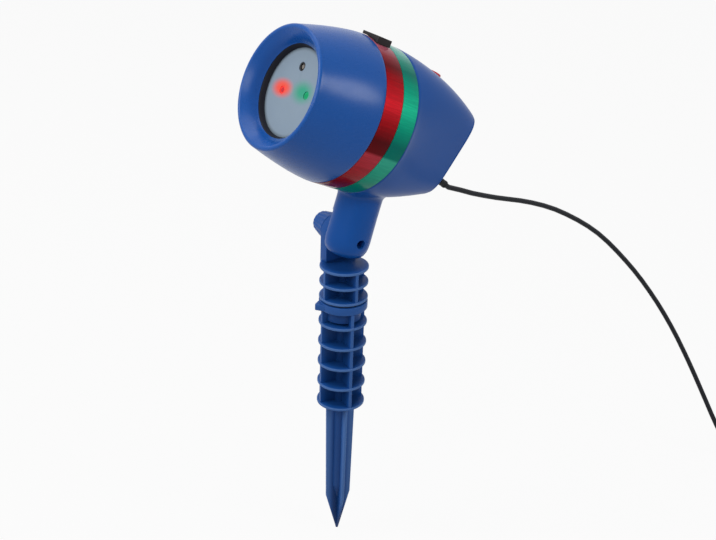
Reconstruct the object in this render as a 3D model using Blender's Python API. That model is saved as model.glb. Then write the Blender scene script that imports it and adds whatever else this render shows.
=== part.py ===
"""Laser star projector: a tilting projector head with two laser modules, on a two-part ground stake.

The origin is the point of the spike, +Z runs up the stake and the head looks towards -Y.
Everything on the head is placed by three empties: the tilt axis, the optical axis that the
round casing is turned about, and the frame of the rear cover.
"""

import math

import bmesh
import bpy
from mathutils import Euler, Matrix, Vector

MM = 0.001

# Clearances
GAP = 0.3 * MM
RUN_GAP = 0.15 * MM
OVERCUT = 1.0 * MM

# Resolution of round pieces
FINE = 36
MEDIUM = 24
COARSE = 16
SMALL = 8

# Pose of the rest position
TILT_REST = math.radians(25.1)
STAKE_TWIST = math.radians(-9.0)
NECK_LEAN = math.radians(7.5)

# Ground stake
DISC_RADIUS = 17.0 * MM
DISC_THICKNESS = 2.2 * MM
RIB_THICKNESS = 3.0 * MM
RIB_RADIUS = 16.3 * MM
CORE_RADIUS = 5.0 * MM
SPIKE_TIP_HEIGHT = 31.0 * MM
SPIKE_RADIUS_LOW = 9.5 * MM
SPIKE_RADIUS_TOP = 11.1 * MM
SPIKE_LENGTH = 111.9 * MM
LOWER_DISCS = 5
LOWER_PITCH = 15.88 * MM
FLANGE_ABOVE_DISC = 11.08 * MM
FLANGE_THICKNESS = 5.6 * MM
BOSS_RADIUS = 12.5 * MM
BOSS_LENGTH = 8.5 * MM
PEG_RADIUS = 8.0 * MM
PEG_LENGTH = 12.8 * MM
LUG_RADIUS = 21.5 * MM
LUG_HALF_WIDTH = 7.5 * MM
LUG_INSET = 0.5 * MM
SWIVEL_WASHER_THICKNESS = 0.7 * MM
SWIVEL_WASHER_RADIUS = 15.5 * MM
UPPER_DISCS = 3
UPPER_PITCH = 11.38 * MM

# Tilt joint
PIVOT_Y = 2.5 * MM
PIVOT_ABOVE_DISC = 19.6 * MM
STRAP_OUTER_X = -15.0 * MM
STRAP_THICKNESS = 7.6 * MM
STRAP_RADIUS = 12.5 * MM
STRAP_TRIM_RADIUS = 17.9 * MM
PIVOT_WASHER_THICKNESS = 0.6 * MM
PIVOT_WASHER_RADIUS = 9.0 * MM
STUD_RADIUS = 2.4 * MM
NECK_RADIUS = 15.7 * MM
NECK_END_DEPTH = 13.4 * MM
NECK_SHOULDER = 14.3 * MM
NECK_WALL = 4.7 * MM
NECK_BORE_START = 18.0 * MM
NECK_WAIST = 0.3 * MM
NECK_WAIST_BELOW_ROOT = 7.1 * MM
NECK_FLARE_BELOW_ROOT = 3.1 * MM
NECK_FLARE_ABOVE_ROOT = 2.9 * MM
NECK_FLARE_LOW = 0.1 * MM
NECK_FLARE_MIDDLE = 0.5 * MM
NECK_FLARE_OUT = 1.8 * MM
NECK_TOP_ABOVE_ROOT = 14.9 * MM
NECK_BORE_ABOVE_ROOT = 18.9 * MM
NUT_ACROSS_FLATS = 8.0 * MM
NUT_THICKNESS = 4.0 * MM
NUT_POCKET_PLAY = 0.3 * MM
NECK_HOLE_RADIUS = 3.2 * MM
KNOB_WASHER_THICKNESS = 0.8 * MM
KNOB_WASHER_RADIUS = 8.0 * MM
KNOB_LENGTH = 16.6 * MM
KNOB_BASE_RADIUS = 10.0 * MM
KNOB_END_RADIUS = 8.6 * MM
KNOB_FLUTES = 16
KNOB_FLUTE_DEPTH = 0.6 * MM
KNOB_SOCKET_DEPTH = 10.0 * MM
KNOB_FOOT_CHAMFER = 0.6 * MM
KNOB_FOOT_HEIGHT = 1.2 * MM
KNOB_SHOULDER = 0.5 * MM
KNOB_SHOULDER_HEIGHT = 2.6 * MM
KNOB_END_CHAMFER = 1.4 * MM

# Head casing, in millimetres along the optical axis from the joint of barrel and red band
AXIS_HEIGHT = 79.4 * MM
BAND_FORWARD = 53.65 * MM
BAND_RADIUS = 50.3 * MM
BAND_WALL = 3.3 * MM
RED_BAND_WIDTH = 14.6 * MM
GREEN_BAND_WIDTH = 13.0 * MM
BAND_CHAMFER = 0.4 * MM
BARREL_LENGTH = 46.4 * MM
BARREL_POWER = 1.4
CASE_WALL = 2.2 * MM
RIM_RADIUS = 39.3 * MM
RIM_ROUNDING = 1.9 * MM
HOOD_INNER_RADIUS = 30.9 * MM
HOOD_DEPTH = 7.7 * MM
HOOD_STEP = 0.8 * MM
HOOD_ROOT = 3.4 * MM
SPIGOT_LENGTH = 7.5 * MM
POCKET_RADIUS = 33.8 * MM
POCKET_DEPTH = 10.2 * MM
GASKET_THICKNESS = 3.4 * MM
GASKET_LIP = 1.1 * MM
PLATE_THICKNESS = 2.5 * MM
RETAINER_THICKNESS = 2.3 * MM
RETAINER_RADIUS = 29.5 * MM
SLEEVE_WALL = 2.3 * MM
SLEEVE_INTO_REAR = 7.3 * MM
SLEEVE_TAIL_INSET = 7.3 * MM
SEAL_WIDTH = 1.2 * MM
SEAL_GROOVE_DEPTH = 1.2 * MM
LEDGE_WIDTH = 5.5 * MM
LEDGE_THICKNESS = 3.0 * MM
LEDGE_BEHIND = 9.4 * MM

# Apertures and lasers, turned together round the optical axis
APERTURE_TURN = math.radians(7.0)
LASER_SPACING = 26.0 * MM
APERTURE_RADIUS = 2.6 * MM
LENS_THICKNESS = 1.4 * MM
SENSOR_HEIGHT = 17.1 * MM
SENSOR_HOLE_RADIUS = 3.0 * MM
SENSOR_CELL_RADIUS = 2.1 * MM
SENSOR_CELL_LENGTH = 3.4 * MM
MOUNT_WIDTH = 46.0 * MM
MOUNT_HEIGHT = 20.0 * MM
MOUNT_LENGTH = 14.0 * MM
MOUNT_SCREW_HEIGHT = 7.0 * MM
MODULE_RADIUS = 6.0 * MM
MODULE_LENGTH = 28.0 * MM
MODULE_COLLAR = 3.0 * MM
MODULE_CHAMFER = 1.0 * MM
MODULE_STEP = 0.5 * MM
MODULE_MOUTH_RADIUS = 2.0 * MM
LASER_LEAD_RADIUS = 0.6 * MM
LASER_LEAD_OUT = 9.0 * MM
LASER_LEAD_DOWN = 6.0 * MM
LASER_LEAD_SPACING = 1.8 * MM
CELL_SETBACK = 0.8 * MM
GRATING_THICKNESS = 0.8 * MM
SCREW_RADIUS = 1.3 * MM
SCREW_HEAD_RADIUS = 2.5 * MM
SCREW_HEAD_LENGTH = 1.6 * MM

# Board
BOARD_THICKNESS = 1.6 * MM
BOARD_EDGE_GAP = 1.0 * MM
BOARD_SCREWS = 3
BOARD_SCREW_TURN = math.radians(96)
BOARD_SCREW_LENGTH = 3.6 * MM
BOARD_SCREW_INSET = 3.41 * MM
BOARD_PART_SUNK = 0.4 * MM

# Parts on the board: name, two corners in X and Y, height, in millimetres
BOARD_PARTS = (
    ("driver_chip", (-8, 14), (8, 22), 2.4),
    ("capacitor", (18, -24), (28, -14), 8.0),
    ("lead_socket", (-26, -26), (-12, -18), 6.0),
    ("regulator", (2, -30), (12, -22), 4.0),
)

# Window strip on top of the bands, off centre as photographed
WINDOW_LEFT = -1.5 * MM
WINDOW_RIGHT = 16.0 * MM
WINDOW_LENGTH = 11.5 * MM
WINDOW_RISE = 2.4 * MM
WINDOW_DEPTH = 8.4 * MM
WINDOW_SETBACK = 0.8 * MM

# Rear casing: a circle at the bands that becomes a rounded square at the cover
REAR_LENGTH = 64.5 * MM
REAR_HALF_WIDTH = 27.3 * MM
REAR_HALF_HEIGHT = 32.35 * MM
REAR_DROP = 2.4 * MM
REAR_TILT = math.radians(12.9)
REAR_SQUARENESS = 4.9
REAR_DROP_POWER = 2.1
REAR_WIDTH_POWER = 0.8
REAR_HEIGHT_POWER = 1.46
REAR_WALL = 2.4 * MM
REAR_STATIONS = 6
REAR_POINTS = 32
COVER_THICKNESS = 1.8 * MM
COVER_SPIGOT = 3.0 * MM
COVER_CHAMFER = 0.65 * MM
COVER_SCREW_X = 17.5 * MM
COVER_SCREW_Y = 22.5 * MM
COVER_SCREW_LENGTH = 9.0 * MM
POST_RADIUS = 3.4 * MM
POST_LENGTH = 12.0 * MM
POST_REACH = 16.0 * MM
CORNERS = ((1, 1), (-1, 1), (-1, -1), (1, -1))

# Mode button
BUTTON_BEHIND_BANDS = 41.5 * MM
BUTTON_TILT = math.radians(8.0)
BUTTON_RADIUS = 4.5 * MM
BUTTON_PROUD = 4.63 * MM
BUTTON_LENGTH = 11.0 * MM
BUTTON_DOME = 0.8 * MM
BUTTON_TRAVEL = 1.0 * MM
BUTTON_WALL = 2.4 * MM
BUTTON_WELL = 14.5 * MM
PLUNGER_RADIUS = 1.6 * MM
PLUNGER_LENGTH = 4.0 * MM
SWITCH_PLATE_RADIUS = 8.0 * MM
SWITCH_PLATE_THICKNESS = 1.4 * MM
SWITCH_SIZE = 12.0 * MM
SWITCH_HEIGHT = 6.0 * MM

# Cord
CORD_RADIUS = 1.9 * MM
RELIEF_DOWN = 15.8 * MM
RELIEF_LENGTH = 30.0 * MM
RELIEF_BASE_RADIUS = 4.1 * MM
RELIEF_TIP_RADIUS = 2.7 * MM
RELIEF_FLANGE_RADIUS = 6.4 * MM
RELIEF_FLANGE_THICKNESS = 1.5 * MM
RELIEF_COLLAR = 2.0 * MM
RELIEF_RINGS_START = 3.0 * MM
RELIEF_RINGS = 5
FLOOR_LIFT = 0.05 * MM
CORD_ROUTE_MM = (
    (0.0, 92.5, 256.1),
    (0.0, 102.2, 251.9),
    (0.0, 112.4, 247.8),
    (0.0, 134.0, 240.4),
    (1.0, 167.0, 230.4),
    (4.5, 197.0, 217.5),
    (12.0, 230.0, 196.0),
    (22.5, 259.0, 166.0),
    (33.5, 279.0, 138.0),
    (45.0, 293.5, 111.0),
    (57.0, 305.0, 83.0),
    (68.5, 314.5, 56.0),
    (79.5, 322.0, 32.0),
    (89.0, 327.6, 15.0),
    (96.8, 330.9, 5.6),
)
CORD_SPACING = 11.0 * MM
COIL_ENTRY_MM = (112.0, 334.0)
COIL_HEADING = math.radians(10.0)
COIL_LAYERS = 4
COIL_TURNS = 4
COIL_STEPS = 24
COIL_LAST_STEPS = 8
COIL_PITCH = 4.25 * MM
COIL_LAYER_PITCH = 4.3 * MM
COIL_OUTER_RADIUS = 29.4 * MM
TAIL_LENGTH = 13.0 * MM
TAIL_HEADING = COIL_HEADING + 2 * math.pi * COIL_LAST_STEPS / COIL_STEPS
TIE_WIDTH = 7.0 * MM
TIE_THICKNESS = 1.2 * MM
TIE_PLAY = 0.5 * MM
TIE_ANGLE = math.radians(115.0)
ADAPTER_RELIEF_LENGTH = 16.0 * MM
ADAPTER_RELIEF_RADIUS = 4.0 * MM
ADAPTER_RELIEF_WALL = 0.6 * MM
ADAPTER_LENGTH = 58.0 * MM
ADAPTER_WIDTH = 42.0 * MM
ADAPTER_HEIGHT = 30.0 * MM
ADAPTER_BEVEL = 3.0 * MM
BLADE_SPACING = 12.7 * MM
BLADE_LENGTH = 17.0 * MM
BLADE_WIDTH = 6.3 * MM
BLADE_THICKNESS = 1.5 * MM
BLADE_ROOT = 4.0 * MM
BLADE_PLACE = 0.6

# Lead inside the casing
INNER_LEAD_RADIUS = 1.4 * MM
INNER_LEAD_STRAIGHT = 8.0 * MM
INNER_LEAD_LEFT = 8.0 * MM
INNER_LEAD_DOWN = 14.0 * MM
INNER_LEAD_BOW = 3.0 * MM
INNER_LEAD_SPACING = 5.0 * MM

# Sizes that follow from the ones above
LOWER_TOP_DISC = SPIKE_LENGTH + (LOWER_DISCS - 1) * LOWER_PITCH
FLANGE_BOTTOM = LOWER_TOP_DISC + FLANGE_ABOVE_DISC
FLANGE_TOP = FLANGE_BOTTOM + FLANGE_THICKNESS
UPPER_LOW_FACE = FLANGE_TOP + SWIVEL_WASHER_THICKNESS + 2 * GAP
UPPER_LOW_DISC = UPPER_LOW_FACE + DISC_THICKNESS / 2
UPPER_TOP_DISC = UPPER_LOW_DISC + (UPPER_DISCS - 1) * UPPER_PITCH
PIVOT_Z = UPPER_TOP_DISC + DISC_THICKNESS / 2 + PIVOT_ABOVE_DISC
STRAP_INNER_X = STRAP_OUTER_X + STRAP_THICKNESS
NECK_FACE_X = STRAP_INNER_X + PIVOT_WASHER_THICKNESS + 2 * GAP
NUT_FLOOR_X = NECK_FACE_X + NUT_THICKNESS + 2 * GAP
KNOB_BASE_X = STRAP_OUTER_X - KNOB_WASHER_THICKNESS - 2 * GAP
GREEN_FRONT = -RED_BAND_WIDTH - GAP
REAR_FRONT = GREEN_FRONT - GREEN_BAND_WIDTH - GAP
SLEEVE_RADIUS = BAND_RADIUS - BAND_WALL - GAP
SPIGOT_RADIUS = BAND_RADIUS - BAND_WALL
WINDOW_TOP = BAND_RADIUS + WINDOW_RISE
HOOD_EDGE = BARREL_LENGTH - RIM_ROUNDING - HOOD_DEPTH
GASKET_FRONT = HOOD_EDGE - GAP
PLATE_FRONT = GASKET_FRONT - GASKET_THICKNESS - GAP
PLATE_BACK = PLATE_FRONT - PLATE_THICKNESS
RETAINER_FRONT = PLATE_BACK - GAP
MOUNT_FRONT = PLATE_BACK - GAP
MOUNT_BACK = MOUNT_FRONT - MOUNT_LENGTH
LEDGE_TOP = GAP - LEDGE_BEHIND
BOARD_FRONT = LEDGE_TOP + GAP + BOARD_THICKNESS
SLEEVE_INNER_RADIUS = SLEEVE_RADIUS - SLEEVE_WALL
SLEEVE_TAIL_RADIUS = BAND_RADIUS - SLEEVE_TAIL_INSET
BOARD_RADIUS = SLEEVE_INNER_RADIUS - BOARD_EDGE_GAP
CASING_END = REAR_LENGTH - COVER_THICKNESS - GAP
NECK_ROOT = AXIS_HEIGHT - BAND_RADIUS
BUTTON_SHARE = BUTTON_BEHIND_BANDS / REAR_LENGTH
BUTTON_TOP = BAND_RADIUS + (REAR_HALF_HEIGHT - BAND_RADIUS) * BUTTON_SHARE**REAR_HEIGHT_POWER + BUTTON_PROUD


def srgb(red, green, blue):
    """Return a linear colour from 0 to 255 screen values."""

    def channel(value):
        value /= 255
        return value / 12.92 if value <= 0.04045 else ((value + 0.055) / 1.055) ** 2.4

    return (channel(red), channel(green), channel(blue), 1.0)


# Colour, roughness and metallic value of each material
FINISHES = {
    "blue_case": (srgb(40, 84, 158), 0.42, 0.0),
    "blue_stake": (srgb(32, 68, 132), 0.45, 0.0),
    "red_gloss": (srgb(206, 22, 34), 0.12, 0.0),
    "green_gloss": (srgb(0, 152, 116), 0.12, 0.0),
    "grey_plate": (srgb(140, 156, 176), 0.5, 0.0),
    "black_plastic": (srgb(22, 22, 25), 0.4, 0.0),
    "black_rubber": (srgb(16, 16, 18), 0.7, 0.0),
    "red_lens": (srgb(215, 40, 48), 0.1, 0.0),
    "green_lens": (srgb(20, 170, 125), 0.1, 0.0),
    "glass": (srgb(210, 225, 230), 0.05, 0.0),
    "brass": (srgb(196, 160, 84), 0.3, 1.0),
    "aluminium": (srgb(186, 189, 192), 0.35, 1.0),
    "steel": (srgb(168, 170, 172), 0.3, 1.0),
    "board_green": (srgb(24, 96, 60), 0.4, 0.0),
    "cell": (srgb(178, 168, 150), 0.5, 0.0),
}


def material(finish, node):
    """Make one Principled material for a node from its finish."""
    colour, roughness, metallic = FINISHES[finish]
    made = bpy.data.materials.new(f"{node}_{finish}")
    made.use_nodes = True
    shader = made.node_tree.nodes["Principled BSDF"]
    shader.inputs["Base Color"].default_value = colour
    shader.inputs["Roughness"].default_value = roughness
    shader.inputs["Metallic"].default_value = metallic
    made.diffuse_color = colour
    return made


def empty(name, parent=None, location=(0, 0, 0), rotation=(0, 0, 0)):
    """Make an empty that carries pieces or turns them."""
    made = bpy.data.objects.new(name, None)
    bpy.context.collection.objects.link(made)
    made.parent = parent
    made.location = location
    made.rotation_euler = rotation
    return made


def piece(name, bm, finish, parent=None, location=(0, 0, 0), rotation=(0, 0, 0)):
    """Turn a bmesh into a named object with its own material."""
    mesh = bpy.data.meshes.new(name)
    bmesh.ops.recalc_face_normals(bm, faces=bm.faces)
    bm.to_mesh(mesh)
    bm.free()
    mesh.shade_smooth()
    mesh.set_sharp_from_angle(angle=math.radians(35))
    made = bpy.data.objects.new(name, mesh)
    bpy.context.collection.objects.link(made)
    made.data.materials.append(material(finish, name))
    made.parent = parent
    made.location = location
    made.rotation_euler = rotation
    return made


def tool(name, bm, parent=None, location=(0, 0, 0), rotation=(0, 0, 0)):
    """Make a hidden body that only cuts or joins."""
    made = piece(name, bm, "steel", parent, location, rotation)
    made.hide_render = True
    made.display_type = "WIRE"
    return made


def combine(target, other, operation="DIFFERENCE"):
    """Cut, join or intersect a body with a hidden one."""
    made = target.modifiers.new(other.name, "BOOLEAN")
    made.operation = operation
    made.object = other
    made.solver = "EXACT"
    return made


def turned(profile, steps=MEDIUM):
    """Spin a profile of (radius, height) points round Z, closed to a ring or closed on the axis."""
    bm = bmesh.new()
    verts = [bm.verts.new((radius, 0, height)) for radius, height in profile]
    edges = [bm.edges.new(pair) for pair in zip(verts, verts[1:])]
    if profile[0][0] > 0 or profile[-1][0] > 0:
        edges.append(bm.edges.new((verts[-1], verts[0])))
    bmesh.ops.spin(
        bm,
        geom=verts + edges,
        axis=(0, 0, 1),
        cent=(0, 0, 0),
        angle=2 * math.pi,
        steps=steps,
        use_merge=True,
    )
    bmesh.ops.remove_doubles(bm, verts=bm.verts, dist=1e-7)
    return bm


def rod(radius, bottom, top, steps=SMALL):
    """A plain round bar along Z."""
    return turned([(0, bottom), (radius, bottom), (radius, top), (0, top)], steps)


def ring(inner, outer, bottom, top, steps=MEDIUM):
    """A flat ring with square edges."""
    return turned([(inner, bottom), (outer, bottom), (outer, top), (inner, top)], steps)


def block(low, high):
    """A box between two corners."""
    bm = bmesh.new()
    size = Vector(high) - Vector(low)
    centre = (Vector(high) + Vector(low)) / 2
    bmesh.ops.create_cube(bm, size=1, matrix=Matrix.Translation(centre) @ Matrix.Diagonal((*size, 1)))
    return bm


def prism(outline, low, high, axis="Z"):
    """Extrude a closed outline. With axis X the outline is in Y and Z, otherwise in X and Y."""
    place = {"X": lambda a, b, c: (c, a, b), "Z": lambda a, b, c: (a, b, c)}[axis]
    bm = bmesh.new()
    ends = [[bm.verts.new(place(a, b, level)) for a, b in outline] for level in (low, high)]
    bm.faces.new(list(reversed(ends[0])))
    bm.faces.new(ends[1])
    count = len(outline)
    for i in range(count):
        j = (i + 1) % count
        bm.faces.new((ends[0][i], ends[0][j], ends[1][j], ends[1][i]))
    return bm


def arc(centre, radius, start, end, steps):
    """Points along an arc, angles in degrees."""
    angles = [math.radians(start + (end - start) * i / steps) for i in range(steps + 1)]
    return [(centre[0] + radius * math.cos(a), centre[1] + radius * math.sin(a)) for a in angles]


def lofted(rings):
    """Skin a row of closed rings and cap both ends."""
    bm = bmesh.new()
    rows = [[bm.verts.new(point) for point in row] for row in rings]
    count = len(rows[0])
    for low, high in zip(rows, rows[1:]):
        for i in range(count):
            j = (i + 1) % count
            bm.faces.new((low[i], low[j], high[j], high[i]))
    bm.faces.new(list(reversed(rows[0])))
    bm.faces.new(rows[-1])
    return bm


def tube(name, points, radius, finish, parent=None, sides=2):
    """A round cord along a row of points, with filled ends."""
    curve = bpy.data.curves.new(name, "CURVE")
    curve.dimensions = "3D"
    curve.bevel_depth = radius
    curve.bevel_resolution = sides
    curve.use_fill_caps = True
    curve.render_resolution_u = 0
    spline = curve.splines.new("POLY")
    spline.points.add(len(points) - 1)
    for target, point in zip(spline.points, points):
        target.co = (*point, 1)
    made = bpy.data.objects.new(name, curve)
    bpy.context.collection.objects.link(made)
    made.data.materials.append(material(finish, name))
    made.parent = parent
    return made


def smooth_route(knots, spacing):
    """Points at an even spacing on a Catmull-Rom curve through the knots."""
    knots = [Vector(knot) for knot in knots]
    knots = [2 * knots[0] - knots[1], *knots, 2 * knots[-1] - knots[-2]]
    dense = []
    for p0, p1, p2, p3 in zip(knots, knots[1:], knots[2:], knots[3:]):
        for i in range(24):
            t = i / 24
            dense.append(
                0.5 * (2 * p1 + (p2 - p0) * t + (2 * p0 - 5 * p1 + 4 * p2 - p3) * t**2
                       + (3 * p1 - p0 - 3 * p2 + p3) * t**3)
            )
    dense.append(knots[-2])
    lengths = [0.0]
    for a, b in zip(dense, dense[1:]):
        lengths.append(lengths[-1] + (b - a).length)
    count = max(2, round(lengths[-1] / spacing))
    points = []
    at = 0
    for i in range(count + 1):
        wanted = lengths[-1] * i / count
        while at < len(lengths) - 2 and lengths[at + 1] < wanted:
            at += 1
        share = (wanted - lengths[at]) / (lengths[at + 1] - lengths[at])
        points.append(dense[at].lerp(dense[at + 1], share))
    return points


def route_length(points):
    """Length of a row of points."""
    return sum((b - a).length for a, b in zip(points, points[1:]))


def lower_stake(carrier):
    """Spike, ribbed body, socket and flange of the lower half, moulded as one piece."""
    half = DISC_THICKNESS / 2
    bore_bottom = FLANGE_TOP - PEG_LENGTH - GAP
    bore_radius = PEG_RADIUS + GAP
    profile = [(0, SPIKE_TIP_HEIGHT), (CORE_RADIUS, SPIKE_TIP_HEIGHT + CORE_RADIUS)]
    for i in range(LOWER_DISCS):
        level = SPIKE_LENGTH + i * LOWER_PITCH
        profile += [(CORE_RADIUS, level - half), (DISC_RADIUS, level - half)]
        profile += [(DISC_RADIUS, level + half), (CORE_RADIUS, level + half)]
    boss_bottom = FLANGE_BOTTOM - BOSS_LENGTH
    profile += [(CORE_RADIUS, boss_bottom), (BOSS_RADIUS, boss_bottom), (BOSS_RADIUS, FLANGE_BOTTOM)]
    profile += [(DISC_RADIUS, FLANGE_BOTTOM), (DISC_RADIUS, FLANGE_TOP)]
    profile += [(bore_radius, FLANGE_TOP), (bore_radius, bore_bottom), (0, bore_bottom)]
    body = piece("lower_stake", turned(profile), "blue_stake", carrier)
    rib_top = FLANGE_BOTTOM + LUG_INSET
    envelope_profile = [
        (0, 0),
        (RIB_THICKNESS / 5, 0),
        (SPIKE_RADIUS_LOW, SPIKE_TIP_HEIGHT),
        (SPIKE_RADIUS_TOP, SPIKE_LENGTH - half / 2),
        (RIB_RADIUS, SPIKE_LENGTH),
        (RIB_RADIUS, rib_top),
        (bore_radius + OVERCUT, rib_top),
        (bore_radius + OVERCUT, bore_bottom - OVERCUT),
        (0, bore_bottom - OVERCUT),
    ]
    half_rib = RIB_THICKNESS / 2
    ribs = tool(
        "lower_ribs",
        block((-DISC_RADIUS, -half_rib, -OVERCUT), (DISC_RADIUS, half_rib, FLANGE_TOP)),
        carrier,
    )
    cross = tool(
        "lower_ribs_cross",
        block((-half_rib, -DISC_RADIUS, -OVERCUT), (half_rib, DISC_RADIUS, FLANGE_TOP)),
        carrier,
    )
    envelope = tool("lower_ribs_envelope", turned(envelope_profile), carrier)
    combine(ribs, cross, "UNION")
    combine(ribs, envelope, "INTERSECT")
    combine(body, ribs, "UNION")
    inner = DISC_RADIUS * 0.8
    outline = [(-LUG_HALF_WIDTH, -inner), (0, -LUG_RADIUS), (LUG_HALF_WIDTH, -inner)]
    lug = tool("flange_lug", prism(outline, FLANGE_BOTTOM + LUG_INSET, FLANGE_TOP - LUG_INSET), carrier)
    combine(body, lug, "UNION")
    return body


def strap_outline():
    """Side outline of the strap: a round eye on a straight leg, in Y and Z from the pivot."""
    eye = arc((0, 0), STRAP_RADIUS, 0, 180, 12)
    foot = UPPER_TOP_DISC - PIVOT_Z
    return [(STRAP_RADIUS, foot), *eye, (-STRAP_RADIUS, foot)]


def upper_stake(carrier):
    """Ribbed upper half with its peg below and the flat strap that the head turns on."""
    half = DISC_THICKNESS / 2
    profile = [(0, FLANGE_TOP - PEG_LENGTH), (PEG_RADIUS, FLANGE_TOP - PEG_LENGTH)]
    profile += [(PEG_RADIUS, UPPER_LOW_FACE)]
    for i in range(UPPER_DISCS):
        level = UPPER_LOW_DISC + i * UPPER_PITCH
        if i > 0:
            profile.append((CORE_RADIUS, level - half))
        profile += [(DISC_RADIUS, level - half), (DISC_RADIUS, level + half)]
        if i < UPPER_DISCS - 1:
            profile.append((CORE_RADIUS, level + half))
    profile.append((0, UPPER_TOP_DISC + half))
    body = piece("upper_stake", turned(profile), "blue_stake", carrier)
    half_rib = RIB_THICKNESS / 2
    ribs = tool(
        "upper_ribs",
        block((-RIB_RADIUS, -half_rib, UPPER_LOW_DISC), (RIB_RADIUS, half_rib, UPPER_TOP_DISC)),
        carrier,
    )
    cross = tool(
        "upper_ribs_cross",
        block((-half_rib, -RIB_RADIUS, UPPER_LOW_DISC), (half_rib, RIB_RADIUS, UPPER_TOP_DISC)),
        carrier,
    )
    combine(ribs, cross, "UNION")
    combine(body, ribs, "UNION")
    pivot = (0, PIVOT_Y, PIVOT_Z)
    strap = tool("strap", prism(strap_outline(), STRAP_OUTER_X, STRAP_INNER_X, "X"), carrier, pivot)
    trim = tool("strap_trim", rod(STRAP_TRIM_RADIUS, 0, PIVOT_Z + 2 * STRAP_RADIUS, MEDIUM), carrier)
    combine(strap, trim, "INTERSECT")
    combine(body, strap, "UNION")
    hole = tool(
        "strap_hole",
        rod(STUD_RADIUS + GAP, STRAP_OUTER_X - OVERCUT, STRAP_INNER_X + OVERCUT),
        carrier,
        pivot,
        (0, math.pi / 2, 0),
    )
    combine(body, hole)
    return body


def fluted_knob():
    """Tapered knob with flutes all round and a chamfered end, along Z."""
    bm = bmesh.new()
    levels = [
        (0, KNOB_BASE_RADIUS - KNOB_FOOT_CHAMFER, 0),
        (KNOB_FOOT_HEIGHT, KNOB_BASE_RADIUS, 0),
        (KNOB_SHOULDER_HEIGHT, KNOB_BASE_RADIUS - KNOB_SHOULDER, KNOB_FLUTE_DEPTH),
        (KNOB_LENGTH - KNOB_END_CHAMFER, KNOB_END_RADIUS, KNOB_FLUTE_DEPTH),
        (KNOB_LENGTH, KNOB_END_RADIUS - KNOB_END_CHAMFER, 0),
    ]
    rows = []
    for level, radius, depth in levels:
        row = []
        for i in range(2 * KNOB_FLUTES):
            angle = math.pi * i / KNOB_FLUTES
            r = radius - depth * (i % 2)
            row.append(bm.verts.new((r * math.cos(angle), r * math.sin(angle), level)))
        rows.append(row)
    count = len(rows[0])
    for low, high in zip(rows, rows[1:]):
        for i in range(count):
            j = (i + 1) % count
            bm.faces.new((low[i], low[j], high[j], high[i]))
    bm.faces.new(list(reversed(rows[0])))
    bm.faces.new(rows[-1])
    return bm


def hexagon(across_flats):
    """Corner points of a hexagon."""
    radius = across_flats / math.sqrt(3)
    angles = [math.radians(60 * i) for i in range(6)]
    return [(radius * math.cos(a), radius * math.sin(a)) for a in angles]


def tilt_hardware(pan_axis, tilt_axis, knob_axis):
    """Knob, stud, washers and nut on the tilt axis. The knob frame's Z runs out of the knob."""
    stud_end = -(NUT_FLOOR_X + STUD_RADIUS)
    knob = piece("tilt_knob", fluted_knob(), "blue_stake", knob_axis, (0, 0, -KNOB_BASE_X))
    socket = tool(
        "knob_socket",
        rod(STUD_RADIUS + GAP, -KNOB_BASE_X - OVERCUT, -KNOB_BASE_X + KNOB_SOCKET_DEPTH),
        knob_axis,
    )
    combine(knob, socket)
    piece(
        "knob_stud",
        rod(STUD_RADIUS, stud_end, -KNOB_BASE_X + KNOB_SOCKET_DEPTH - GAP),
        "steel",
        knob_axis,
    )
    washer_bottom = -STRAP_OUTER_X + GAP
    washer_top = washer_bottom + KNOB_WASHER_THICKNESS
    piece(
        "knob_washer",
        ring(STUD_RADIUS + GAP, KNOB_WASHER_RADIUS, washer_bottom, washer_top, COARSE),
        "steel",
        pan_axis,
        knob_axis.location,
        knob_axis.rotation_euler,
    )
    friction_bottom = -NECK_FACE_X + GAP
    friction_top = friction_bottom + PIVOT_WASHER_THICKNESS
    piece(
        "pivot_washer",
        ring(STUD_RADIUS + GAP, PIVOT_WASHER_RADIUS, friction_bottom, friction_top, COARSE),
        "black_plastic",
        tilt_axis,
        (0, 0, 0),
        (0, -math.pi / 2, 0),
    )
    nut = piece(
        "pivot_nut",
        prism(hexagon(NUT_ACROSS_FLATS), NECK_FACE_X + GAP, NECK_FACE_X + GAP + NUT_THICKNESS),
        "steel",
        tilt_axis,
        (0, 0, 0),
        (0, math.pi / 2, 0),
    )
    thread = tool(
        "nut_thread",
        rod(STUD_RADIUS + RUN_GAP, NECK_FACE_X - OVERCUT, NUT_FLOOR_X + OVERCUT, COARSE),
        tilt_axis,
        (0, 0, 0),
        (0, math.pi / 2, 0),
    )
    combine(nut, thread)


def barrel_radius(height):
    """Outer radius of the barrel at a height above its joint with the red band."""
    share = height / (BARREL_LENGTH - RIM_ROUNDING)
    return BAND_RADIUS - (BAND_RADIUS - RIM_RADIUS - RIM_ROUNDING) * share**BARREL_POWER


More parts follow.
